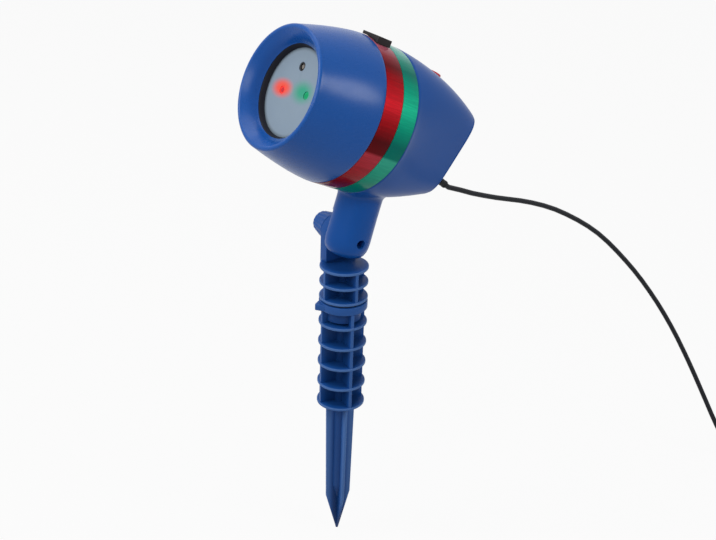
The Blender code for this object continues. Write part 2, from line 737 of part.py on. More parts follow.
def front_housing(optical):
    """Barrel with a rolled rim, the hood that leads in to the apertures and the pocket behind it."""
    rim_height = BARREL_LENGTH - RIM_ROUNDING
    steps = 6
    levels = [rim_height * i / steps for i in range(steps + 1)]
    outer = [(barrel_radius(level), max(GAP, level)) for level in levels]
    rim = arc((RIM_RADIUS, rim_height), RIM_ROUNDING, 0, 180, 5)[1:]
    pocket_bottom = HOOD_EDGE - POCKET_DEPTH
    pocket_outer = POCKET_RADIUS + CASE_WALL
    hood = [
        (HOOD_INNER_RADIUS, HOOD_EDGE),
        (POCKET_RADIUS, HOOD_EDGE),
        (POCKET_RADIUS, pocket_bottom),
        (pocket_outer, pocket_bottom),
        (pocket_outer, HOOD_EDGE + HOOD_STEP),
    ]
    inner_top = HOOD_EDGE + HOOD_ROOT
    inner = [
        (barrel_radius(h) - CASE_WALL, h)
        for h in [inner_top + (SPIGOT_LENGTH - inner_top) * i / 3 for i in range(4)]
    ]
    spigot = [(SPIGOT_RADIUS, SPIGOT_LENGTH), (SPIGOT_RADIUS, GAP)]
    profile = [*outer, *rim, *hood, *inner, *spigot]
    return piece("front_housing", turned(profile, FINE), "blue_case", optical)


def aperture_group(optical):
    """Grey plate with its three holes, the gasket in front of it and what sits in the holes."""
    gasket = [
        (HOOD_INNER_RADIUS, GASKET_FRONT),
        (HOOD_INNER_RADIUS - GASKET_LIP, GASKET_FRONT - GASKET_THICKNESS),
        (POCKET_RADIUS - GAP, GASKET_FRONT - GASKET_THICKNESS),
        (POCKET_RADIUS - GAP, GASKET_FRONT),
    ]
    piece("window_gasket", turned(gasket, FINE), "black_rubber", optical)
    plate_radius = POCKET_RADIUS - GAP
    disc = rod(plate_radius, PLATE_BACK, PLATE_FRONT, FINE)
    plate = piece("aperture_plate", disc, "grey_plate", optical)
    laser_x = LASER_SPACING / 2
    holes = (
        ("sensor_hole", SENSOR_HOLE_RADIUS, 0, SENSOR_HEIGHT),
        ("red_hole", APERTURE_RADIUS, -laser_x, 0),
        ("green_hole", APERTURE_RADIUS, laser_x, 0),
    )
    for name, radius, x, y in holes:
        hole = tool(name, rod(radius, PLATE_BACK - OVERCUT, PLATE_FRONT + OVERCUT), optical, (x, y, 0))
        combine(plate, hole)
    for i, sign in enumerate((-1, 1)):
        pilot = tool(
            f"mount_pilot_{i + 1}",
            rod(SCREW_RADIUS + GAP, PLATE_BACK - OVERCUT, PLATE_FRONT - OVERCUT),
            optical,
            (0, sign * MOUNT_SCREW_HEIGHT, 0),
        )
        combine(plate, pilot)
    piece(
        "plate_retaining_ring",
        ring(RETAINER_RADIUS, plate_radius, RETAINER_FRONT - RETAINER_THICKNESS, RETAINER_FRONT),
        "black_plastic",
        optical,
    )
    for colour, sign in (("red", -1), ("green", 1)):
        lens_bottom = PLATE_BACK + GAP
        piece(
            f"{colour}_aperture_lens",
            rod(APERTURE_RADIUS - GAP, lens_bottom, lens_bottom + LENS_THICKNESS, COARSE),
            f"{colour}_lens",
            optical,
            (sign * laser_x, 0, 0),
        )
    cell_front = PLATE_FRONT - CELL_SETBACK
    piece(
        "light_cell",
        rod(SENSOR_CELL_RADIUS, cell_front - SENSOR_CELL_LENGTH, cell_front, SMALL),
        "cell",
        optical,
        (0, SENSOR_HEIGHT, 0),
    )
    bezel_inner = SENSOR_CELL_RADIUS + GAP
    piece(
        "light_cell_bezel",
        ring(bezel_inner, SENSOR_HOLE_RADIUS - RUN_GAP, PLATE_BACK, PLATE_FRONT - GAP, SMALL),
        "black_plastic",
        optical,
        (0, SENSOR_HEIGHT, 0),
    )


def laser_group(optical):
    """Aluminium mount with the red and green laser modules and their star gratings."""
    laser_x = LASER_SPACING / 2
    half_height = MOUNT_HEIGHT / 2
    mount = piece(
        "laser_mount",
        block((-MOUNT_WIDTH / 2, -half_height, MOUNT_BACK), (MOUNT_WIDTH / 2, half_height, MOUNT_FRONT)),
        "aluminium",
        optical,
    )
    bore = MODULE_RADIUS + GAP
    grating_front = MOUNT_FRONT - GAP
    module_front = grating_front - GRATING_THICKNESS - GAP
    for colour, sign in (("red", -1), ("green", 1)):
        place = (sign * laser_x, 0, 0)
        bored = rod(bore, MOUNT_BACK - OVERCUT, MOUNT_FRONT + OVERCUT, COARSE)
        cutter = tool(f"{colour}_bore", bored, optical, place)
        combine(mount, cutter)
        piece(
            f"{colour}_star_grating",
            rod(MODULE_RADIUS, grating_front - GRATING_THICKNESS, grating_front, COARSE),
            "glass",
            optical,
            place,
        )
        module_back = module_front - MODULE_LENGTH
        collar = module_front - MODULE_COLLAR
        profile = [
            (0, module_back),
            (MODULE_RADIUS - MODULE_CHAMFER, module_back),
            (MODULE_RADIUS, module_back + MODULE_CHAMFER),
            (MODULE_RADIUS, collar),
            (MODULE_RADIUS - MODULE_STEP, collar),
            (MODULE_RADIUS - MODULE_STEP, module_front),
            (MODULE_MOUTH_RADIUS, module_front),
            (MODULE_MOUTH_RADIUS, collar),
            (0, collar),
        ]
        piece(f"{colour}_laser_module", turned(profile, COARSE), "brass", optical, place)
        start = Vector((sign * laser_x, 0, module_back - GAP))
        end = Vector((sign * (laser_x + LASER_LEAD_OUT), -LASER_LEAD_DOWN, BOARD_FRONT + GAP))
        middle = start.lerp(end, 0.5)
        route = [start, Vector((start.x, start.y, middle.z)), Vector((end.x, end.y, middle.z)), end]
        points = smooth_route(route, LASER_LEAD_SPACING)
        tube(f"{colour}_laser_lead", points, LASER_LEAD_RADIUS, "black_rubber", optical, 1)
    shank_top = PLATE_FRONT - OVERCUT - GAP
    head_top = MOUNT_BACK - GAP
    for i, sign in enumerate((-1, 1)):
        place = (0, sign * MOUNT_SCREW_HEIGHT, 0)
        hole = tool(
            f"mount_screw_hole_{i + 1}",
            rod(SCREW_RADIUS + GAP, MOUNT_BACK - OVERCUT, MOUNT_FRONT + OVERCUT),
            optical,
            place,
        )
        combine(mount, hole)
        profile = [
            (0, head_top - SCREW_HEAD_LENGTH),
            (SCREW_HEAD_RADIUS, head_top - SCREW_HEAD_LENGTH),
            (SCREW_HEAD_RADIUS, head_top),
            (SCREW_RADIUS, head_top),
            (SCREW_RADIUS, shank_top),
            (0, shank_top),
        ]
        piece(f"laser_mount_screw_{i + 1}", turned(profile, SMALL), "steel", optical, place)


def band(name, front, width, finish, optical):
    """One glossy colour band, chamfered on its outer edges."""
    inner = BAND_RADIUS - BAND_WALL
    back = front - width
    profile = [
        (inner, back),
        (BAND_RADIUS - BAND_CHAMFER, back),
        (BAND_RADIUS, back + BAND_CHAMFER),
        (BAND_RADIUS, front - BAND_CHAMFER),
        (BAND_RADIUS - BAND_CHAMFER, front),
        (inner, front),
    ]
    return piece(name, turned(profile, FINE), finish, optical)


def core_group(optical):
    """Core sleeve that joins the two casings under the bands, its seals, and the board on its ledge."""
    front = SPIGOT_LENGTH - OVERCUT
    back = REAR_FRONT - SLEEVE_INTO_REAR
    step = REAR_FRONT + GAP
    seals = (
        ("rear_seal_ring", REAR_FRONT - SLEEVE_INTO_REAR / 2, SLEEVE_TAIL_RADIUS),
        ("front_seal_ring", SPIGOT_LENGTH / 2, SLEEVE_RADIUS),
    )
    profile = [(SLEEVE_TAIL_RADIUS - SLEEVE_WALL, back), (SLEEVE_TAIL_RADIUS, back)]
    for name, centre, radius in seals:
        low = centre - SEAL_WIDTH / 2 - GAP
        high = centre + SEAL_WIDTH / 2 + GAP
        groove = radius - SEAL_GROOVE_DEPTH
        profile += [(radius, low), (groove, low), (groove, high), (radius, high)]
        if radius < SLEEVE_RADIUS:
            profile += [(radius, step), (SLEEVE_RADIUS, step)]
    ledge_inner = SLEEVE_INNER_RADIUS - LEDGE_WIDTH
    ledge_bottom = LEDGE_TOP - LEDGE_THICKNESS
    profile += [
        (SLEEVE_RADIUS, front),
        (SLEEVE_INNER_RADIUS, front),
        (SLEEVE_INNER_RADIUS, LEDGE_TOP),
        (ledge_inner, LEDGE_TOP),
        (ledge_inner, ledge_bottom),
        (SLEEVE_INNER_RADIUS, ledge_bottom),
        (SLEEVE_INNER_RADIUS, step + SLEEVE_WALL),
        (SLEEVE_TAIL_RADIUS - SLEEVE_WALL, step + SLEEVE_WALL),
    ]
    sleeve = piece("core_sleeve", turned(profile), "black_plastic", optical)
    for name, centre, radius in seals:
        ring_low = centre - SEAL_WIDTH / 2
        inner = radius - SEAL_GROOVE_DEPTH + RUN_GAP
        piece(
            name,
            ring(inner, radius, ring_low, ring_low + SEAL_WIDTH),
            "black_rubber",
            optical,
        )
    board = piece(
        "control_board",
        rod(BOARD_RADIUS, BOARD_FRONT - BOARD_THICKNESS, BOARD_FRONT, MEDIUM),
        "board_green",
        optical,
    )
    for name, low, high, height in BOARD_PARTS:
        low_corner = (low[0] * MM, low[1] * MM, BOARD_FRONT - BOARD_PART_SUNK)
        high_corner = (high[0] * MM, high[1] * MM, BOARD_FRONT + height * MM)
        combine(board, tool(name, block(low_corner, high_corner), optical), "UNION")
    screw_circle = SLEEVE_INNER_RADIUS - BOARD_SCREW_INSET
    head_bottom = BOARD_FRONT + GAP
    for i in range(BOARD_SCREWS):
        angle = BOARD_SCREW_TURN + 2 * math.pi / BOARD_SCREWS * i
        place = (screw_circle * math.cos(angle), screw_circle * math.sin(angle), 0)
        profile = [
            (0, head_bottom - BOARD_SCREW_LENGTH),
            (SCREW_RADIUS, head_bottom - BOARD_SCREW_LENGTH),
            (SCREW_RADIUS, head_bottom),
            (SCREW_HEAD_RADIUS, head_bottom),
            (SCREW_HEAD_RADIUS, head_bottom + SCREW_HEAD_LENGTH),
            (0, head_bottom + SCREW_HEAD_LENGTH),
        ]
        piece(f"board_screw_{i + 1}", turned(profile, SMALL), "steel", optical, place)
        hole = tool(
            f"board_screw_hole_{i + 1}",
            rod(SCREW_RADIUS + GAP, head_bottom - BOARD_SCREW_LENGTH - GAP, BOARD_FRONT + OVERCUT),
            optical,
            place,
        )
        combine(board, hole)
        combine(sleeve, hole)


def top_window(optical):
    """Flat black window strip that saddles the bands on top."""
    front = -WINDOW_SETBACK
    back = front - WINDOW_LENGTH
    low = BAND_RADIUS - WINDOW_DEPTH
    strip = piece(
        "top_window",
        block((WINDOW_LEFT, low, back), (WINDOW_RIGHT, WINDOW_TOP, front)),
        "black_plastic",
        optical,
    )
    saddle_rod = rod(BAND_RADIUS + GAP, back - OVERCUT, front + OVERCUT, 2 * FINE)
    saddle = tool("window_saddle", saddle_rod, optical)
    combine(strip, saddle)
    return strip


def rear_ring(share, inset=0.0, count=REAR_POINTS):
    """One cross-section of the rear casing, from the circle at the bands (0) to the cover (1)."""
    tilt = REAR_TILT * share
    half_width = BAND_RADIUS + (REAR_HALF_WIDTH - BAND_RADIUS) * share**REAR_WIDTH_POWER - inset
    half_height = BAND_RADIUS + (REAR_HALF_HEIGHT - BAND_RADIUS) * share**REAR_HEIGHT_POWER - inset
    power = 2 / (2 + (REAR_SQUARENESS - 2) * share)
    centre_y = -REAR_DROP * share**REAR_DROP_POWER
    centre_z = REAR_FRONT - REAR_LENGTH * share
    points = []
    for i in range(count):
        angle = 2 * math.pi * (i + 0.5) / count
        c = math.cos(angle)
        s = math.sin(angle)
        x = half_width * math.copysign(abs(c) ** power, c)
        up = half_height * math.copysign(abs(s) ** power, s)
        points.append(Vector((x, centre_y + up * math.cos(tilt), centre_z - up * math.sin(tilt))))
    return points


def rear_housing(optical, tilt_axis, cover_frame, button_frame):
    """Rear casing shell with its neck, open to the bands in front and to the cover behind."""
    shares = [i / REAR_STATIONS for i in range(REAR_STATIONS)] + [CASING_END / REAR_LENGTH]
    body = piece("rear_housing", lofted([rear_ring(s) for s in reversed(shares)]), "blue_case", optical)
    neck_axis = empty("neck_axis", tilt_axis, rotation=(NECK_LEAN, 0, 0))
    end = [
        (0, -NECK_END_DEPTH),
        (0.5 * NECK_RADIUS, -0.965 * NECK_END_DEPTH),
        (0.76 * NECK_RADIUS, -0.83 * NECK_END_DEPTH),
        (0.93 * NECK_RADIUS, -0.56 * NECK_END_DEPTH),
        (NECK_RADIUS, -0.1 * NECK_END_DEPTH),
    ]
    flare = [
        (NECK_RADIUS - NECK_WAIST, NECK_ROOT - NECK_WAIST_BELOW_ROOT),
        (NECK_RADIUS - NECK_FLARE_LOW, NECK_ROOT - NECK_FLARE_BELOW_ROOT),
        (NECK_RADIUS + NECK_FLARE_MIDDLE, NECK_ROOT),
        (NECK_RADIUS + NECK_FLARE_OUT, NECK_ROOT + NECK_FLARE_ABOVE_ROOT),
        (0, NECK_ROOT + NECK_TOP_ABOVE_ROOT),
    ]
    neck = tool("neck", turned([*end, *flare], MEDIUM), neck_axis)
    combine(body, neck, "UNION")
    cavity_rings = [rear_ring(s, REAR_WALL) for s in reversed(shares[1:-1])]
    outward = Vector((0, -math.sin(REAR_TILT), -math.cos(REAR_TILT)))
    back_row = [point + outward * OVERCUT for point in rear_ring(shares[-1], REAR_WALL)]
    socket_inset = BAND_RADIUS - SLEEVE_TAIL_RADIUS - 2 * GAP
    socket_depth = SLEEVE_INTO_REAR + GAP
    socket_ring = rear_ring(0, socket_inset)
    shifts = (Vector((0, 0, -socket_depth)), Vector((0, 0, OVERCUT)))
    socket_rows = [[point + shift for point in socket_ring] for shift in shifts]
    cavity = tool("rear_cavity", lofted([back_row, *cavity_rings, *socket_rows]), optical)
    well_radius = BUTTON_RADIUS + GAP + BUTTON_WALL
    well = tool("button_well", rod(well_radius, -BUTTON_WELL, BUTTON_WELL, COARSE), button_frame)
    combine(cavity, well)
    trim = tool("seam_trim", rod(BAND_RADIUS + GAP, REAR_FRONT, 2 * BAND_RADIUS, 2 * FINE), optical)
    post_top = -COVER_THICKNESS - COVER_SPIGOT - GAP
    outline = [(POST_REACH, -POST_RADIUS), (POST_REACH, POST_RADIUS)]
    outline += arc((0, 0), POST_RADIUS, 90, 270, SMALL // 2)
    for i, (sx, sy) in enumerate(CORNERS):
        place = (sx * COVER_SCREW_X, sy * COVER_SCREW_Y, 0)
        outward_turn = (0, 0, math.atan2(place[1], place[0]))
        bar = prism(outline, post_top - POST_LENGTH, post_top)
        combine(cavity, tool(f"cover_post_{i + 1}", bar, cover_frame, place, outward_turn))
    combine(body, cavity)
    combine(body, trim)
    bore_radius = NECK_RADIUS - NECK_WALL
    bore_top = NECK_ROOT + NECK_BORE_ABOVE_ROOT
    bore = tool("neck_bore", rod(bore_radius, NECK_BORE_START, bore_top, COARSE), neck_axis)
    combine(body, bore)
    reach = 2 * NECK_RADIUS
    low_corner = (-reach, -reach, -reach)
    lap = tool("neck_lap", block(low_corner, (NECK_FACE_X, reach, NECK_SHOULDER)), tilt_axis)
    combine(body, lap)
    hole = tool(
        "neck_hole", rod(NECK_HOLE_RADIUS, -reach, reach, COARSE), tilt_axis, (0, 0, 0), (0, math.pi / 2, 0)
    )
    combine(body, hole)
    pocket = tool(
        "nut_pocket",
        prism(hexagon(NUT_ACROSS_FLATS + 2 * NUT_POCKET_PLAY), -reach, NUT_FLOOR_X),
        tilt_axis,
        (0, 0, 0),
        (0, math.pi / 2, 0),
    )
    combine(body, pocket)
    opening = rod(BUTTON_RADIUS + GAP, -2 * BUTTON_WELL, BUTTON_WELL, COARSE)
    button_hole = tool("button_hole", opening, button_frame)
    combine(body, button_hole)
    for i, (sx, sy) in enumerate(CORNERS):
        place = (sx * COVER_SCREW_X, sy * COVER_SCREW_Y, 0)
        pilot = tool(
            f"cover_pilot_{i + 1}",
            rod(SCREW_RADIUS + GAP, post_top - COVER_SCREW_LENGTH, post_top + OVERCUT),
            cover_frame,
            place,
        )
        combine(body, pilot)
    return body


def cover_outline(inset, count=REAR_POINTS):
    """Outline of the rear cover in its own frame, a rounded square."""
    power = 2 / REAR_SQUARENESS
    points = []
    for i in range(count):
        angle = 2 * math.pi * (i + 0.5) / count
        c = math.cos(angle)
        s = math.sin(angle)
        x = (REAR_HALF_WIDTH - inset) * math.copysign(abs(c) ** power, c)
        y = (REAR_HALF_HEIGHT - inset) * math.copysign(abs(s) ** power, s)
        points.append((x, y))
    return points


def rear_cover(cover_frame):
    """Flat cover with a locating spigot, four screws and the hole for the strain relief."""
    levels = [
        (REAR_WALL + GAP, -COVER_THICKNESS - COVER_SPIGOT),
        (REAR_WALL + GAP, -COVER_THICKNESS),
        (0.0, -COVER_THICKNESS),
        (0.0, -COVER_CHAMFER),
        (COVER_CHAMFER, 0.0),
    ]
    rings = [[Vector((x, y, level)) for x, y in cover_outline(inset)] for inset, level in levels]
    cover = piece("rear_cover", lofted(rings), "blue_case", cover_frame)
    head_bottom = -COVER_THICKNESS
    for i, (sx, sy) in enumerate(CORNERS):
        place = (sx * COVER_SCREW_X, sy * COVER_SCREW_Y, 0)
        hole = [
            (0, -COVER_THICKNESS - COVER_SPIGOT - OVERCUT),
            (SCREW_RADIUS + GAP, -COVER_THICKNESS - COVER_SPIGOT - OVERCUT),
            (SCREW_RADIUS + GAP, head_bottom - GAP),
            (SCREW_HEAD_RADIUS + GAP, head_bottom - GAP),
            (SCREW_HEAD_RADIUS + GAP, OVERCUT),
            (0, OVERCUT),
        ]
        combine(cover, tool(f"cover_screw_hole_{i + 1}", turned(hole, SMALL), cover_frame, place))
        shank_end = head_bottom - COVER_SPIGOT - COVER_SCREW_LENGTH + GAP
        profile = [
            (0, shank_end),
            (SCREW_RADIUS, shank_end),
            (SCREW_RADIUS, head_bottom),
            (SCREW_HEAD_RADIUS, head_bottom),
            (SCREW_HEAD_RADIUS, head_bottom + SCREW_HEAD_LENGTH),
            (0, head_bottom + SCREW_HEAD_LENGTH),
        ]
        piece(f"cover_screw_{i + 1}", turned(profile, SMALL), "steel", cover_frame, place)
    passage = tool(
        "relief_passage",
        rod(RELIEF_BASE_RADIUS + GAP, -COVER_THICKNESS - COVER_SPIGOT - OVERCUT, OVERCUT, COARSE),
        cover_frame,
        (0, RELIEF_DOWN, 0),
    )
    combine(cover, passage)
    return cover


def strain_relief(cover_frame):
    """Tapered rubber strain relief, with its flange inside the cover."""
    flange_top = -COVER_THICKNESS - COVER_SPIGOT - GAP
    flange_bottom = flange_top - RELIEF_FLANGE_THICKNESS
    profile = [
        (0, flange_bottom),
        (RELIEF_FLANGE_RADIUS, flange_bottom),
        (RELIEF_FLANGE_RADIUS, flange_top),
        (RELIEF_BASE_RADIUS, flange_top),
        (RELIEF_BASE_RADIUS, RELIEF_COLLAR),
    ]
    ringed = RELIEF_LENGTH - RELIEF_RINGS_START - RELIEF_COLLAR
    for i in range(RELIEF_RINGS):
        low = RELIEF_RINGS_START + ringed * i / RELIEF_RINGS
        high = RELIEF_RINGS_START + ringed * (i + 0.6) / RELIEF_RINGS
        taper = RELIEF_BASE_RADIUS + (RELIEF_TIP_RADIUS - RELIEF_BASE_RADIUS) * (i + 1) / RELIEF_RINGS
        profile += [(taper, low), (taper, high)]
    profile += [(RELIEF_TIP_RADIUS, RELIEF_LENGTH), (0, RELIEF_LENGTH)]
    place = (0, RELIEF_DOWN, 0)
    return piece("cord_strain_relief", turned(profile, COARSE), "black_rubber", cover_frame, place)


def mode_button(button_axis, button_frame):
    """Red push button, the plunger under it and the switch that it works."""
    profile = [
        (0, -BUTTON_LENGTH),
        (BUTTON_RADIUS, -BUTTON_LENGTH),
        (BUTTON_RADIUS, -BUTTON_DOME),
        (BUTTON_RADIUS - BUTTON_DOME, -0.2 * BUTTON_DOME),
        (0, 0),
    ]
    piece("mode_button", turned(profile, COARSE), "red_gloss", button_axis)
    plunger_top = -BUTTON_LENGTH - GAP
    piece(
        "switch_plunger",
        rod(PLUNGER_RADIUS, plunger_top - PLUNGER_LENGTH, plunger_top, SMALL),
        "black_plastic",
        button_axis,
    )
    plate_top = -BUTTON_WELL - GAP
    plate_bottom = plate_top - SWITCH_PLATE_THICKNESS
    half = SWITCH_SIZE / 2
    switch = piece(
        "mode_switch",
        rod(SWITCH_PLATE_RADIUS, plate_bottom, plate_top, COARSE),
        "black_plastic",
        button_frame,
    )
    low_corner = (-half, -half, plate_bottom - SWITCH_HEIGHT)
    high_corner = (half, half, plate_bottom + SWITCH_PLATE_THICKNESS / 2)
    body = tool("switch_body", block(low_corner, high_corner), button_frame)
    combine(switch, body, "UNION")
    hole_bottom = plunger_top - PLUNGER_LENGTH - BUTTON_TRAVEL - GAP
    shaft = rod(PLUNGER_RADIUS + RUN_GAP, hole_bottom, plate_top + OVERCUT)
    hole = tool("switch_hole", shaft, button_frame)
    combine(switch, hole)


def coil_points(entry, heading):
    """The coil's turns: layers that spiral in and out by turns and climb where the spiral reverses.

    After the last layer the cord runs on outside it for COIL_LAST_STEPS, and leaves along TAIL_HEADING.
    """
    inward = Vector((-math.sin(heading), math.cos(heading), 0))
    centre = entry + inward * COIL_OUTER_RADIUS
    start = heading - math.pi / 2
    span = COIL_PITCH * COIL_TURNS
    points = []
    for i in range(COIL_LAYERS * COIL_TURNS * COIL_STEPS + COIL_LAST_STEPS + 1):
        turns = i / COIL_STEPS
        beyond = max(0.0, turns - COIL_LAYERS * COIL_TURNS)
        within = (turns - beyond) % (2 * COIL_TURNS)
        drawn_in = span * (1 - abs(1 - within / COIL_TURNS))
        radius = COIL_OUTER_RADIUS - drawn_in + COIL_PITCH * beyond
        climb = 0.0
        for layer in range(1, COIL_LAYERS):
            share = min(1.0, max(0.0, (turns - layer * COIL_TURNS) / 0.5 + 0.5))
            climb += share * share * (3 - 2 * share)
        angle = start + 2 * math.pi * turns
        offset = Vector((radius * math.cos(angle), radius * math.sin(angle), climb * COIL_LAYER_PITCH))
        points.append(centre + offset)
    return centre, points


def least_gap(points, radius, apart):
    """Least clear distance between stretches of a tube that are some steps apart."""
    least = math.inf
    for i, a in enumerate(points):
        for b in points[i + apart:]:
            least = min(least, (a - b).length)
    return least - 2 * radius


def cord_group(carrier, relief_tip, relief_direction):
    """Cord from the strain relief to the floor, the coil with its tie, and the plug-in adapter."""
    lift = CORD_RADIUS + FLOOR_LIFT
    entry = Vector((COIL_ENTRY_MM[0] * MM, COIL_ENTRY_MM[1] * MM, lift))
    ahead = Vector((math.cos(COIL_HEADING), math.sin(COIL_HEADING), 0))
    start = relief_tip + relief_direction * GAP
    straight = 2 * CORD_RADIUS
    coil_start = entry - ahead * straight
    stretch_end = coil_start - ahead * GAP
    knots = [start + relief_direction * straight]
    knots += [Vector(point) * MM for point in CORD_ROUTE_MM]
    knots += [stretch_end - ahead * straight]
    stretch = [start, *smooth_route(knots, CORD_SPACING), stretch_end]
    tube("cord_stretch", stretch, CORD_RADIUS, "black_rubber", carrier)
    centre, turns = coil_points(entry, COIL_HEADING)
    away = Vector((math.cos(TAIL_HEADING), math.sin(TAIL_HEADING), 0))
    coil_end = turns[-1] + away * straight
    coil = [coil_start, *turns, coil_end]
    tube("cord_coil", coil, CORD_RADIUS, "black_rubber", carrier, 1)
    tail_start = coil_end + away * GAP
    tail = [tail_start + away * TAIL_LENGTH * i / 4 for i in range(5)]
    tube("cord_tail", tail, CORD_RADIUS, "black_rubber", carrier)
    lengths = [round(route_length(row), 4) for row in (stretch, coil, tail)]
    print("cord lengths in m:", lengths, "in all", round(sum(lengths), 4))
    gap = least_gap(turns, CORD_RADIUS, COIL_STEPS // 2)
    print("least gap of the coil to itself in mm:", round(gap / MM, 3))
    tie_around_coil(carrier, centre)
    adapter(carrier, tail[-1] + away * GAP)


def tie_around_coil(carrier, centre):
    """Strap over the coil's bundle, open underneath."""
    inner = COIL_OUTER_RADIUS - COIL_PITCH * COIL_TURNS - CORD_RADIUS - TIE_PLAY
    outer = COIL_OUTER_RADIUS + CORD_RADIUS + TIE_PLAY
    top = (COIL_LAYERS - 1) * COIL_LAYER_PITCH + 2 * CORD_RADIUS + TIE_PLAY
    thick = TIE_THICKNESS
    foot = FLOOR_LIFT
    outline = [
        (inner - thick, foot),
        (inner, foot),
        (inner, top),
        (outer, top),
        (outer, foot),
        (outer + thick, foot),
        (outer + thick, top + thick),
        (inner - thick, top + thick),
    ]
    strap = prism(outline, -TIE_WIDTH / 2, TIE_WIDTH / 2)
    stand_up = Euler((math.pi / 2, 0, TIE_ANGLE))
    ground = Vector((centre.x, centre.y, 0))
    piece("cord_tie", strap, "black_rubber", carrier, ground, stand_up)


def adapter(carrier, start):
    """Plug-in adapter that lies on the floor with its two blades up."""
    frame = empty("adapter_frame", carrier, start, (0, 0, TAIL_HEADING))
    profile = [
        (0, 0),
        (CORD_RADIUS + ADAPTER_RELIEF_WALL, 0),
        (ADAPTER_RELIEF_RADIUS, ADAPTER_RELIEF_LENGTH),
        (0, ADAPTER_RELIEF_LENGTH),
    ]
    lying = (0, math.pi / 2, 0)
    piece("adapter_relief", turned(profile, SMALL), "black_rubber", frame, (0, 0, 0), lying)
    front = ADAPTER_RELIEF_LENGTH + GAP
    floor = FLOOR_LIFT - start.z
    half = ADAPTER_WIDTH / 2
    case = block((front, -half, floor), (front + ADAPTER_LENGTH, half, floor + ADAPTER_HEIGHT))
    bmesh.ops.bevel(
        case,
        geom=[edge for edge in case.edges],
        offset=ADAPTER_BEVEL,
        segments=2,
        profile=0.5,
        affect="EDGES",
    )
    body = piece("adapter_body", case, "black_plastic", frame)
    blade_x = front + ADAPTER_LENGTH * BLADE_PLACE
    blade_low = floor + ADAPTER_HEIGHT - BLADE_ROOT
    blade_high = floor + ADAPTER_HEIGHT + BLADE_LENGTH
    for side, sign in (("left", 1), ("right", -1)):
        y = sign * BLADE_SPACING / 2
        thick = BLADE_THICKNESS / 2
        low_corner = (blade_x - BLADE_WIDTH / 2, y - thick, blade_low)
        high_corner = (blade_x + BLADE_WIDTH / 2, y + thick, blade_high)
        piece(f"adapter_blade_{side}", block(low_corner, high_corner), "steel", frame)
        slot = block(
            (blade_x - BLADE_WIDTH / 2 - RUN_GAP, y - thick - RUN_GAP, blade_low - RUN_GAP),
            (blade_x + BLADE_WIDTH / 2 + RUN_GAP, y + thick + RUN_GAP, blade_high),
        )
        combine(body, tool(f"blade_slot_{side}", slot, frame))


def inner_lead(optical, cover_frame):
    """Lead inside the casing, from the strain relief to the socket on the board."""
    flange_bottom = -COVER_THICKNESS - COVER_SPIGOT - GAP - RELIEF_FLANGE_THICKNESS
    bpy.context.view_layer.update()
    to_optical = optical.matrix_world.inverted() @ cover_frame.matrix_world
    start = to_optical @ Vector((0, RELIEF_DOWN, flange_bottom - GAP))
    onward = to_optical @ Vector((0, RELIEF_DOWN, flange_bottom - INNER_LEAD_STRAIGHT))
    end = Vector((-INNER_LEAD_LEFT, -INNER_LEAD_DOWN, BOARD_FRONT - BOARD_THICKNESS - GAP))
    before_end = end - Vector((0, 0, INNER_LEAD_STRAIGHT))
    middle = (onward + end) / 2 + Vector((INNER_LEAD_BOW, INNER_LEAD_BOW, 0))
    points = smooth_route([start, onward, middle, before_end, end], INNER_LEAD_SPACING)
    tube("inner_lead", points, INNER_LEAD_RADIUS, "black_rubber", optical, 1)


def main():
    """Clear the file's objects and build the whole projector."""
    for obj in list(bpy.data.objects):
        bpy.data.objects.remove(obj, do_unlink=True)
    stake_frame = empty("stake_frame", rotation=(0, 0, STAKE_TWIST))
    pan_axis = empty("pan_axis")
    tilt_axis = empty("tilt_axis", pan_axis, (0, PIVOT_Y, PIVOT_Z), (-TILT_REST, 0, 0))
    knob_axis = empty("knob_axis", pan_axis, (0, PIVOT_Y, PIVOT_Z), (0, -math.pi / 2, 0))
    optical = empty("optical_axis", tilt_axis, (0, -BAND_FORWARD, AXIS_HEIGHT), (math.pi / 2, 0, 0))
    cover_place = (0, -REAR_DROP, REAR_FRONT - REAR_LENGTH)
    cover_frame = empty("cover_frame", optical, cover_place, (math.pi - REAR_TILT, 0, 0))
    aperture_frame = empty("aperture_frame", optical, rotation=(0, 0, APERTURE_TURN))
    button_place = (0, BUTTON_TOP, REAR_FRONT - BUTTON_BEHIND_BANDS)
    button_turn = (-math.pi / 2 - BUTTON_TILT, 0, 0)
    button_axis = empty("button_axis", optical, button_place, button_turn)
    button_frame = empty("button_frame", optical, button_place, button_turn)

    lower_stake(stake_frame)
    washer_low = FLANGE_TOP + GAP
    washer_high = washer_low + SWIVEL_WASHER_THICKNESS
    piece(
        "swivel_washer",
        ring(PEG_RADIUS + GAP, SWIVEL_WASHER_RADIUS, washer_low, washer_high, COARSE),
        "black_plastic",
    )
    upper_stake(pan_axis)
    tilt_hardware(pan_axis, tilt_axis, knob_axis)
    front_housing(optical)
    aperture_group(aperture_frame)
    laser_group(aperture_frame)
    band("red_band", 0, RED_BAND_WIDTH, "red_gloss", optical)
    band("green_band", GREEN_FRONT, GREEN_BAND_WIDTH, "green_gloss", optical)
    core_group(optical)
    top_window(optical)
    rear_housing(optical, tilt_axis, cover_frame, button_frame)
    rear_cover(cover_frame)
    strain_relief(cover_frame)
    mode_button(button_axis, button_frame)
    inner_lead(optical, cover_frame)
    bpy.context.view_layer.update()
    tip = cover_frame.matrix_world @ Vector((0, RELIEF_DOWN, RELIEF_LENGTH))
    direction = (cover_frame.matrix_world.to_3x3() @ Vector((0, 0, 1))).normalized()
    print("strain relief tip in mm:", [round(value / MM, 2) for value in tip])
    cord_group(pan_axis, tip, direction)


main()
